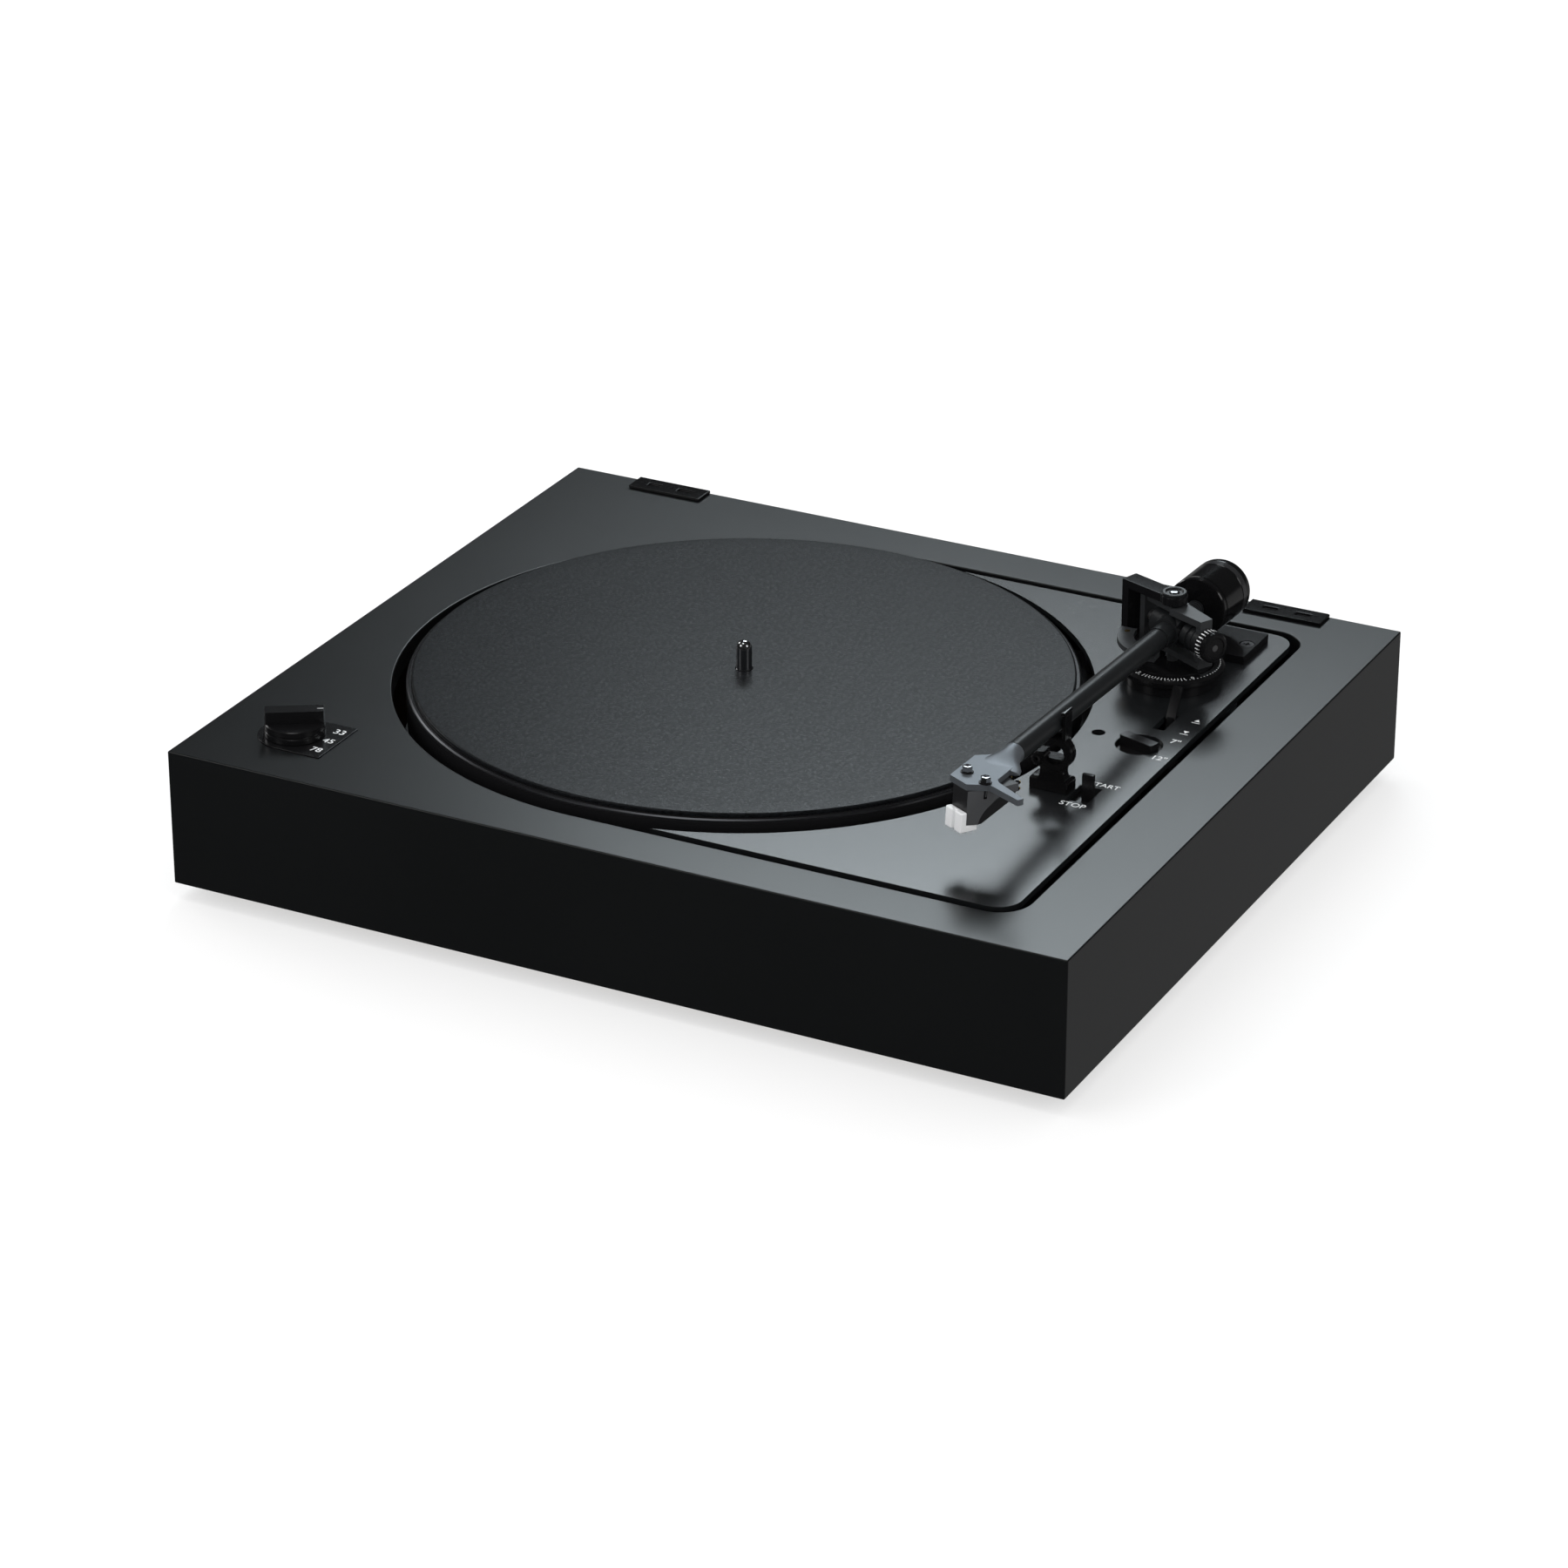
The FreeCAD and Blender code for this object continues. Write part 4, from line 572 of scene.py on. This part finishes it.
# ---- speed knob: ringed skirt, tall bar and a pointer line
knob = {"x": -174.5, "y": -142.5, "turn": 31, "radius": 13.5, "low": 0.8, "skirt": 6, "bar": 7, "barTall": 6}


def makeSpeedKnob():
    radius, low, top = knob["radius"], knob["low"], knob["low"] + knob["skirt"]
    spot = (Matrix.Translation((knob["x"] * mm, knob["y"] * mm, deck * mm))
            @ Matrix.Rotation(math.radians(knob["turn"]), 4, "Z"))
    skirt = lathe([(3, -18), (3, low), (radius - 0.2, low), (radius, low + 0.3), (radius - 0.05, low + 2.4),
                   (radius - 0.4, low + 2.7), (radius - 0.4, low + 3.2), (radius - 0.15, low + 3.5),
                   (radius - 0.3, top - 0.4), (radius - 0.8, top), (0.3, top)], 120)
    reach = radius - 0.35
    bar = lathe([(reach, top - 0.3), (reach, top + knob["barTall"] - 0.3)], 120)
    half = knob["bar"] / 2
    for side in (-1, 1):
        carve(bar, block((-20, min(side * half, side * 20), 0), (20, max(side * half, side * 20), 30)))
    carve(bar, block((reach - 3.4, -0.45, top + knob["barTall"] - 1.1), (reach + 1, 0.45, top + 20)))
    soften(bar, 0.45, 3)
    settle(place(join([skirt, bar]), spot), "speedKnob", "speed_knob", blackMoulding,
           ("speed_knob",))
    barTop = top + knob["barTall"]
    pointer = block((reach - 3.2, -0.42, barTop - 1.15), (reach - 0.4, 0.42, barTop - 0.55))
    settle(place(pointer, spot), "speedPointer", "speed_knob", inkWhite)


makeSpeedKnob()
print("speed knob done")

# ---- platter, mat and spindle
platter = {"x": -27.5, "top": 75, "radius": 151, "matRadius": 148.5, "matThick": 2, "matHole": 4.1,
           "matRings": 14, "spindleTop": 90.5}


def makePlatter():
    spot = Matrix.Translation((platter["x"] * mm, 0, 0))
    top, radius = platter["top"], platter["radius"]
    rings = [(3.82, top), (radius - 1.7, top), (radius - 1.1, top - 0.05), (radius - 0.35, top - 0.5),
             (radius - 0.05, top - 1.1), (radius, top - 1.6), (radius, top - 13), (radius - 0.4, top - 13.4),
             (radius - 0.4, top - 14.2), (radius, top - 14.6), (radius, top - 18.2), (radius - 0.8, top - 19),
             (145, top - 19), (145, top - 5), (84, top - 5), (84, top - 24), (80, top - 24), (80, top - 5),
             (16, top - 5), (16, top - 17), (5.06, top - 17), (5.06, top - 3), (3.82, top - 3), (3.82, top)]
    disc = place(lathe(rings, 256, hollow=True), spot)
    settle(disc, "platterDisc", "platter", platterMetal, ("platter",), 25)
    # the turned rim is left bright along its top edge
    disc.data.materials.append(rimPolish)
    for face in disc.data.polygons:
        away = math.hypot(face.center.x - platter["x"] * mm, face.center.y) / mm
        if away > radius - 1.2 and face.center.z > (top - 1.2) * mm:
            face.material_index = 1

    outer, hole, count = platter["matRadius"], platter["matHole"], platter["matRings"]
    matTop, reach = top + platter["matThick"], outer - 1
    rings = [(hole, top)] + [(hole + (reach - hole) * i / count, matTop) for i in range(count + 1)]
    rings += [(outer - 0.4, matTop - 0.12), (outer, matTop - 0.55), (outer, top + 0.3), (outer - 0.3, top)]
    rings += [(hole, top)]
    mat = place(lathe(rings, 240, hollow=True), spot)
    settle(mat, "feltMat", "platter", charcoalFelt, ("felt_mat",), 50)

    tip = platter["spindleTop"]
    rings = [(4.95, 27), (4.95, 71.9), (3.75, 71.9), (3.75, 77.1), (3.57, 77.3), (3.57, tip - 4),
             (3.5, tip - 3), (3.2, tip - 1.9), (2.6, tip - 0.9), (1.7, tip - 0.3), (0.7, tip - 0.03),
             (0.2, tip)]
    pinPiece = place(lathe(rings, 48), spot)
    settle(pinPiece, "spindlePin", "platter", chromePolish, ("spindle",))


makePlatter()
print("platter done")

# ---- tonearm tube, stub and counterweight
arm = {"tubeRadius": 4.75, "tubeBore": 4.15, "tubeLong": 168, "tail": 14, "stubEnd": 54, "threadTurns": 16,
       "threadPitch": 1.9, "weightFrom": 25, "bandLow": 22.4, "bandHigh": 26.5, "bandRadius": 13.5}


def makeArm():
    spot = armPlace() @ alongY
    r, bore, front, tail = arm["tubeRadius"], arm["tubeBore"], -arm["tubeLong"], arm["tail"]
    rings = [(bore, front), (r - 0.25, front), (r, front + 0.25), (r, -40), (r, tail - 0.25),
             (r - 0.25, tail), (bore, tail), (bore, front)]
    tube = place(lathe(rings, 64, hollow=True), spot)
    settle(tube, "armTube", "tonearm", armAnodise, ("arm_tube",))

    end = arm["stubEnd"]
    rings = [(4.1, tail - 8), (4.1, tail), (4.0, tail + 0.2)]
    for turn in range(arm["threadTurns"]):    # grooves that stand for the weight's thread
        z = tail + 3 + turn * arm["threadPitch"]
        rings += [(4.0, z), (3.75, z + 0.5), (3.75, z + 1.0), (4.0, z + 1.5)]
    rings += [(4.0, end - 0.6), (3.4, end)]
    stub = place(lathe(rings, 40), spot)
    settle(stub, "weightStub", "tonearm", armAnodise, ("weight_stub",))

    spot = spot @ Matrix.Translation((0, 0, arm["weightFrom"] * mm))
    rings = [(4.07, 0), (12.6, 0), (13.6, 0.3), (14, 0.9), (14, 3.0), (13.5, 3.25), (13.5, 3.85), (14, 4.1),
             (14, 21.6), (13.75, 21.9), (13.75, 22.2), (14, 22.5), (14, 26.4), (13.75, 26.7), (13.9, 27.1),
             (13.9, 29.6), (13.4, 31), (12.4, 31.8), (11.2, 32), (10.6, 31.4), (5.6, 31.4), (5.0, 32),
             (4.07, 32), (4.07, 0)]
    weight = place(lathe(rings, 96, hollow=True), spot)
    settle(weight, "weightBody", "counterweight", weightBlack, ("counterweight",), 30)
    # a greyer band runs round its rear
    weight.data.materials.append(bandGrey)
    inverse = spot.inverted()
    for face in weight.data.polygons:
        local = inverse @ face.center
        along, away = local.z / mm, math.hypot(local.x, local.y) / mm
        if arm["bandLow"] < along < arm["bandHigh"] and away > arm["bandRadius"]:
            face.material_index = 1


makeArm()
print("arm done")

# ---- bearing cap, tracking force drum and dial, bias dial
bearing = {"capRadius": 5.6, "capLow": 41.2, "capTall": 1.4, "capScrew": 2.3, "forceAcross": 23.4,
           "dialRadius": 23.5, "dialLow": 4.6, "dialTall": 4.1, "scaleRadius": 20.3}


def makeBearing():
    low, tall, radius = bearing["capLow"], bearing["capTall"], bearing["capRadius"]
    rings = [(1.5, 34.5), (1.5, low), (radius, low), (radius, low + tall * 0.75), (radius - 0.4, low + tall),
             (radius - 1.5, low + tall), (radius - 2.1, low + tall * 0.45), (2.4, low + tall * 0.45),
             (2.2, low + tall * 0.8), (1.4, low + tall), (0.3, low + tall)]
    cap = lathe(rings, 60)
    knurl(cap, lambda f: abs(f.normal.z) < 0.3 and f.center.z > low * mm and f.index % 2 == 0
          and math.hypot(f.center.x, f.center.y) > (radius - 0.3) * mm, 0.06, 0.18)
    place(cap, level(bridgeTurn))
    settle(cap, "bearingCap", "plinth", armAnodise, ("bearing_cap",), 30)
    cap.data.materials.append(chromePolish)
    for face in cap.data.polygons:
        away = math.hypot(face.center.x / mm - pivot[0], face.center.y / mm - pivot[1])
        if away < bearing["capScrew"]:
            face.material_index = 1

    # the drum covers the frame's right leg
    rings = [(1.53, 11.2), (5.6, 11.2), (6.2, 11.6), (6.2, 15.2), (5.5, 15.4), (5.5, 16.6), (6.2, 16.8),
             (6.2, 19.0), (5.9, 19.2), (5.9, 19.5), (6.2, 19.7), (6.2, 22.7), (5.8, 23.1), (4.2, 23.1),
             (4.2, 19.9), (1.53, 19.7), (1.53, 11.2)]
    drum = place(lathe(rings, 64, hollow=True), level(bearingTurn, pivot[2]) @ alongX)
    settle(drum, "forceDrum", "swivel", armAnodise, ("force_drum",), 30)

    rings = [(1.56, 0), (6.5, 0), (6.9, 0.4), (6.9, 2.6), (6.7, 2.8), (6.7, 3.2), (6.9, 3.4), (6.9, 5.6),
             (6.1, 6.4), (5.0, 6.5), (4.5, 6.0), (1.56, 6.0), (1.56, 0)]
    forceDial = lathe(rings, 72, hollow=True)
    knurl(forceDial, lambda f: abs(f.normal.z) < 0.2 and f.center.z > 3.3 * mm and f.index % 2 == 0
          and math.hypot(f.center.x, f.center.y) > 6.7 * mm, 0.05, 0.22)
    across = Matrix.Translation((bearing["forceAcross"] * mm, 0, 0))
    spot = level(bearingTurn, pivot[2]) @ across @ alongX
    place(forceDial, spot)
    settle(forceDial, "forceDial", "force_dial", blackMoulding, ("force_dial",), 30)
    marks = spinCopies(block((6.8, -0.26, 0.45), (6.96, 0.26, 2.55)), 23, 345)
    marks = join([marks, spinCopies(block((6.6, -0.26, 2.85), (6.76, 0.26, 3.2)), 23, 345)])
    place(marks, spot)
    settle(marks, "forceMarks", "force_dial", inkWhite)

    low, tall, radius = bearing["dialLow"], bearing["dialTall"], bearing["dialRadius"]
    rings = [(18.5, low), (radius - 1.2, low), (radius - 0.3, low + 0.6), (radius, low + 1.4),
             (radius, low + tall - 1.2), (radius - 0.9, low + tall - 0.25), (radius - 1.3, low + tall),
             (19.0, low + tall), (18.5, low + tall - 0.5), (18.5, low)]
    dial = lathe(rings, 180, hollow=True)
    knurl(dial, lambda f: abs(f.normal.z) < 0.2 and f.index % 2 == 0
          and math.hypot(f.center.x, f.center.y) > (radius - 0.2) * mm, 0.08, 0.25)
    place(dial, level(0))
    settle(dial, "biasDial", "antiskate_dial", blackMoulding, ("antiskate_dial",), 30)
    spot = level(0) @ Matrix.Translation((0, 0, (low + tall) * mm))
    startFresh()
    bpy.ops.mesh.primitive_cylinder_add(vertices=12, radius=0.27 * mm, depth=0.08 * mm,
                                        location=(0, -(radius - 2.0) * mm, 0.02 * mm))
    dots = bpy.context.object
    bpy.ops.object.transform_apply(location=True, rotation=True, scale=True)
    spinCopies(dots, 58, 290)
    place(dots, spot @ Matrix.Rotation(math.radians(-110), 4, "Z"))
    settle(dots, "biasDots", "antiskate_dial", inkWhite)
    marks = [spinCopies(block((-0.19, -21.1, -0.02), (0.19, -19.4, 0.06)), 13, 54)]
    place(marks[0], Matrix.Rotation(math.radians(39), 4, "Z"))
    reach = bearing["scaleRadius"]
    for figure, angle in (("0", 50), ("3", -24)):
        turn = math.radians(angle)
        marks.append(words(figure, 1.3, (reach * math.sin(turn), -reach * math.cos(turn), 0.02), angle))
    scale = join(marks)
    place(scale, spot)
    settle(scale, "biasScale", "antiskate_dial", inkWhite)


makeBearing()
print("bearing done")

# ---- headshell, cartridge, stylus block, screws and the sleeves on its pins
head = {"fairing": [(4.7, 4.7, -167.9, 0), (4.7, 4.65, -168.6, 0), (4.9, 4.4, -171, -0.05),
                    (5.6, 3.85, -174, -0.15), (6.8, 3.2, -177, -0.25), (8.6, 2.5, -180, -0.35),
                    (10.4, 1.85, -183, -0.4), (11.6, 1.38, -187, -0.4)],
        "under": -1.8, "back": 16, "core": 6.6, "cheekRadius": 15, "cheekY": 12, "cheekZ": -20,
        "screwX": 6.35}


def makeHead():
    spot = headPlace()
    plate = soften(fromNode("headshell"), 0.5, 3)
    # the neck widens smoothly from the tube's round end into the flat plate;
    # each of its sections is (half width, half height, place along the tube, drop)
    wide, high, along, drop = head["fairing"][0]
    startFresh()
    bpy.ops.mesh.primitive_circle_add(vertices=64, radius=wide * mm, rotation=(math.radians(90), 0, 0),
                                      location=(0, along * mm, 0))
    fairing = bpy.context.object
    bpy.ops.object.transform_apply(location=True, rotation=True, scale=True)
    bpy.ops.object.mode_set(mode="EDIT")
    bpy.ops.mesh.select_mode(type="VERT")
    bpy.ops.mesh.select_all(action="SELECT")
    bpy.ops.mesh.fill()
    for nextWide, nextHigh, nextAlong, nextDrop in head["fairing"][1:]:
        move = (0, (nextAlong - along) * mm, (nextDrop - drop) * mm)
        bpy.ops.mesh.extrude_region_move(TRANSFORM_OT_translate={"value": move})
        bpy.ops.transform.resize(value=(nextWide / wide, 1, nextHigh / high),
                                 center_override=(0, nextAlong * mm, nextDrop * mm))
        wide, high, along, drop = nextWide, nextHigh, nextAlong, nextDrop
    bpy.ops.mesh.select_all(action="SELECT")
    bpy.ops.mesh.normals_make_consistent(inside=False)
    bpy.ops.object.mode_set(mode="OBJECT")
    place(fairing, armPlace())
    carve(plate, fairing, "UNION")
    settle(plate, "headPlate", "tonearm", headAlloy, ("headshell",))
    # cheeks with a curved lower edge, over a narrower black core
    body = fromNode("cartridge_body")
    for side in (-1, 1):
        startFresh()
        bpy.ops.mesh.primitive_cylinder_add(vertices=96, radius=head["cheekRadius"] * mm, depth=3 * mm,
                                            rotation=(0, math.radians(90), 0))
        cutter = bpy.context.object
        bpy.ops.object.transform_apply(location=True, rotation=True, scale=True)
        offset = Vector((side * (head["core"] + 1.5), head["cheekY"], head["cheekZ"])) * mm
        place(cutter, spot @ Matrix.Translation(offset))
        carve(body, cutter)
    soften(body, 0.3)
    settle(body, "cartridgeBody", "tonearm", cartridgeBlack, ("cartridge_body",))
    body.data.materials.append(cartridgeGrey)
    inverse = spot.inverted()
    turned = inverse.to_3x3()
    for face in body.data.polygons:
        local, normal = inverse @ face.center, turned @ face.normal
        if abs(normal.x) > 0.6 and abs(local.x) > (head["core"] + 0.05) * mm * (1 if local.y > 0 else 0.5):
            face.material_index = 1

    tips = soften(fromNode("stylus_block"), 0.6, 3)
    settle(tips, "stylusBlock", "tonearm", stylusWhite, ("stylus_block",))

    screws, washers = [], []
    for side in (-1, 1):
        shift = Matrix.Translation((side * head["screwX"] * mm, 0, 0))
        nut = lathe([(1.25, 1.5), (2.15, 1.5), (2.3, 1.7), (2.3, 3.6), (2.0, 3.95), (1.35, 4.0), (1.2, 3.8),
                     (1.2, 2.6), (0.2, 2.5)], 6)
        shank = lathe([(1.2, -5), (1.2, 1.5)], 24)
        screws.append(place(join([nut, shank]), shift))
        washers.append(place(lathe([(1.3, 1.0), (2.7, 1.0), (2.8, 1.1), (2.8, 1.4), (2.7, 1.5), (1.3, 1.5),
                                    (1.3, 1.0)], 36, hollow=True), shift))
    settle(place(join(screws), spot), "shellScrews", "tonearm", chromePolish,
           ("cartridge_bolts",), 30)
    settle(place(join(washers), spot), "shellWashers", "tonearm", blackMoulding, (), 30)

    sleeves = []
    for across in (-3, 3):
        for height in (head["under"] - 2.6, head["under"] - 5.4):
            sleeve = lathe([(0.6, 0.3), (0.95, 0.3), (1.05, 0.6), (1.05, 3.6), (0.8, 4.4), (0.6, 4.6),
                            (0.6, 0.3)], 16, hollow=True)
            offset = Vector((across, head["back"], height)) * mm
            sleeves.append(place(sleeve, Matrix.Translation(offset) @ alongY))
    settle(place(join(sleeves), spot), "pinSleeves", "tonearm", blackMoulding)


makeHead()
print("head done")

# ---- printed marks on the top surfaces
labels = {"speeds": [("33", 5.2, (-157.6, -132.9)), ("45", 5.2, (-157.3, -142.7)),
                     ("78", 5.2, (-157.6, -152.6))],
          "panel": [('7"', 4.2, (170.7, 26.8)), ('12"', 6.0, (171.0, 8.1)), ("STOP", 11.8, (156.8, -50.8)),
                    ("START", 13.5, (161.5, -27.6))],
          "plateTop": 0.62, "cueX": 170.8, "raisedY": 51.0, "loweredY": 38.4}


def makeLabels():
    plate = [words(text, width, (*at, deck + labels["plateTop"])) for text, width, at in labels["speeds"]]
    settle(join(plate), "speedFigures", "plinth", inkWhite)
    panel = [words(text, width, (*at, deck + 0.02)) for text, width, at in labels["panel"]]
    x = labels["cueX"]
    for y, turn in ((labels["raisedY"], 0), (labels["loweredY"], 180)):    # signs for arm up and arm down
        bpy.ops.mesh.primitive_cylinder_add(vertices=3, radius=1.5 * mm, depth=inkThick * mm,
                                            location=(x * mm, y * mm, (deck + 0.02) * mm),
                                            rotation=(0, 0, math.radians(turn)))
        panel.append(bpy.context.object)
        line = y - 2.2 if turn == 0 else y - 2.6
        panel.append(block((x - 1.9, line - 0.2, deck - 0.01), (x + 1.9, line + 0.2, deck + 0.05)))
    for piece in panel:
        activate(piece)
        bpy.ops.object.transform_apply(location=True, rotation=True, scale=True)
    settle(join(panel), "panelFigures", "plinth", inkWhite)


makeLabels()
print("marks done")

# ---- floor, light and camera
studio = {"floorSize": 14, "floorGlow": 0.58, "worldLight": 1.0, "glossAbove": 0.012, "glossBelow": 0.17,
          "cameraAt": (0.99793, -1.94958, 1.07919), "cameraLook": (-0.41303, 0.80091, -0.43353),
          "cameraLens": 124.306}
# name, place, aim, width, height, power, tint
lights = [
    ("backPanel", (-0.70, 1.86, 1.60), (0.2, -0.13, 0.07), 0.88, 0.80, 13, (0.86, 0.95, 1.0)),
    ("topPanel", (-0.3, -0.4, 2.4), (0, 0, 0), 0.8, 0.8, 5, (1, 1, 1)),
    ("frontPanel", (-1.2, -1.7, 1.3), (0, 0, 0.05), 0.8, 0.8, 5, (1, 1, 1)),
    ("sidePanel", (2.0, -0.3, 1.2), (0, 0, 0.05), 0.8, 0.8, 4, (1, 1, 1)),
    ("leftPanel", (-1.9, 0.5, 1.0), (0, 0, 0.05), 0.6, 0.6, 4, (1, 1, 1)),
]


def makeFloor():
    startFresh()
    bpy.ops.mesh.primitive_plane_add(size=studio["floorSize"], location=(0, 0, 0))
    floor = bpy.context.object
    floor.name = "floor"
    floorPaint = finish("floorPaint", (0.42, 0.42, 0.42), 0.9, blotch=0.01, grainScale=50, grainDepth=0.02,
                        specular=0.0)
    glow = floorPaint.node_tree.nodes["Principled BSDF"]
    glow.inputs["Emission Color"].default_value = (1, 1, 1, 1)
    glow.inputs["Emission Strength"].default_value = studio["floorGlow"]    # lifts the shadow on it
    floor.data.materials.append(floorPaint)
    floor.visible_glossy = False


def makeWorld():
    world = bpy.data.worlds.new("studioWorld")
    bpy.context.scene.world = world
    world.use_nodes = True
    tree = world.node_tree
    tree.nodes.clear()
    path = tree.nodes.new("ShaderNodeLightPath")
    bright = tree.nodes.new("ShaderNodeBackground")
    dim = tree.nodes.new("ShaderNodeBackground")
    bright.inputs["Color"].default_value = (1, 1, 1, 1)
    bright.inputs["Strength"].default_value = studio["worldLight"]
    dim.inputs["Color"].default_value = (1, 1, 1, 1)
    # glossy surfaces see a dark room, with a paler part low down towards the back
    gaze = tree.nodes.new("ShaderNodeSeparateXYZ")
    tree.links.new(tree.nodes.new("ShaderNodeTexCoord").outputs["Generated"], gaze.inputs[0])
    below = tree.nodes.new("ShaderNodeMapRange")
    below.inputs["From Min"].default_value = 0.03
    below.inputs["From Max"].default_value = -0.06
    tree.links.new(gaze.outputs["Z"], below.inputs["Value"])
    behind = tree.nodes.new("ShaderNodeMapRange")
    behind.inputs["From Min"].default_value = -0.3
    behind.inputs["From Max"].default_value = 0.5
    tree.links.new(gaze.outputs["Y"], behind.inputs["Value"])
    pale = sums(tree, "MULTIPLY", below.outputs[0], behind.outputs[0])
    tree.links.new(sums(tree, "MULTIPLY_ADD", pale, studio["glossBelow"], studio["glossAbove"]),
                   dim.inputs["Strength"])
    mix = tree.nodes.new("ShaderNodeMixShader")
    out = tree.nodes.new("ShaderNodeOutputWorld")
    tree.links.new(path.outputs["Is Glossy Ray"], mix.inputs[0])
    tree.links.new(bright.outputs[0], mix.inputs[1])
    tree.links.new(dim.outputs[0], mix.inputs[2])
    tree.links.new(mix.outputs[0], out.inputs["Surface"])


def makeLights():
    for name, at, aim, width, height, power, tint in lights:
        bpy.ops.object.light_add(type="AREA", location=at)
        lamp = bpy.context.object
        lamp.name = name
        lamp.data.shape = "RECTANGLE"
        lamp.data.size, lamp.data.size_y = width, height
        lamp.data.energy = power
        lamp.data.color = tint
        lamp.rotation_euler = (Vector(aim) - Vector(at)).to_track_quat("-Z", "Y").to_euler()
        lamp.visible_camera = False


def makeCamera():
    bpy.ops.object.camera_add(location=studio["cameraAt"])
    camera = bpy.context.object
    camera.rotation_euler = Vector(studio["cameraLook"]).to_track_quat("-Z", "Y").to_euler()
    camera.data.lens = studio["cameraLens"]
    camera.data.sensor_width = 36
    bpy.context.scene.camera = camera


bpy.context.scene.view_settings.view_transform = "Standard"
makeFloor()
makeWorld()
makeLights()
makeCamera()
print("studio done")
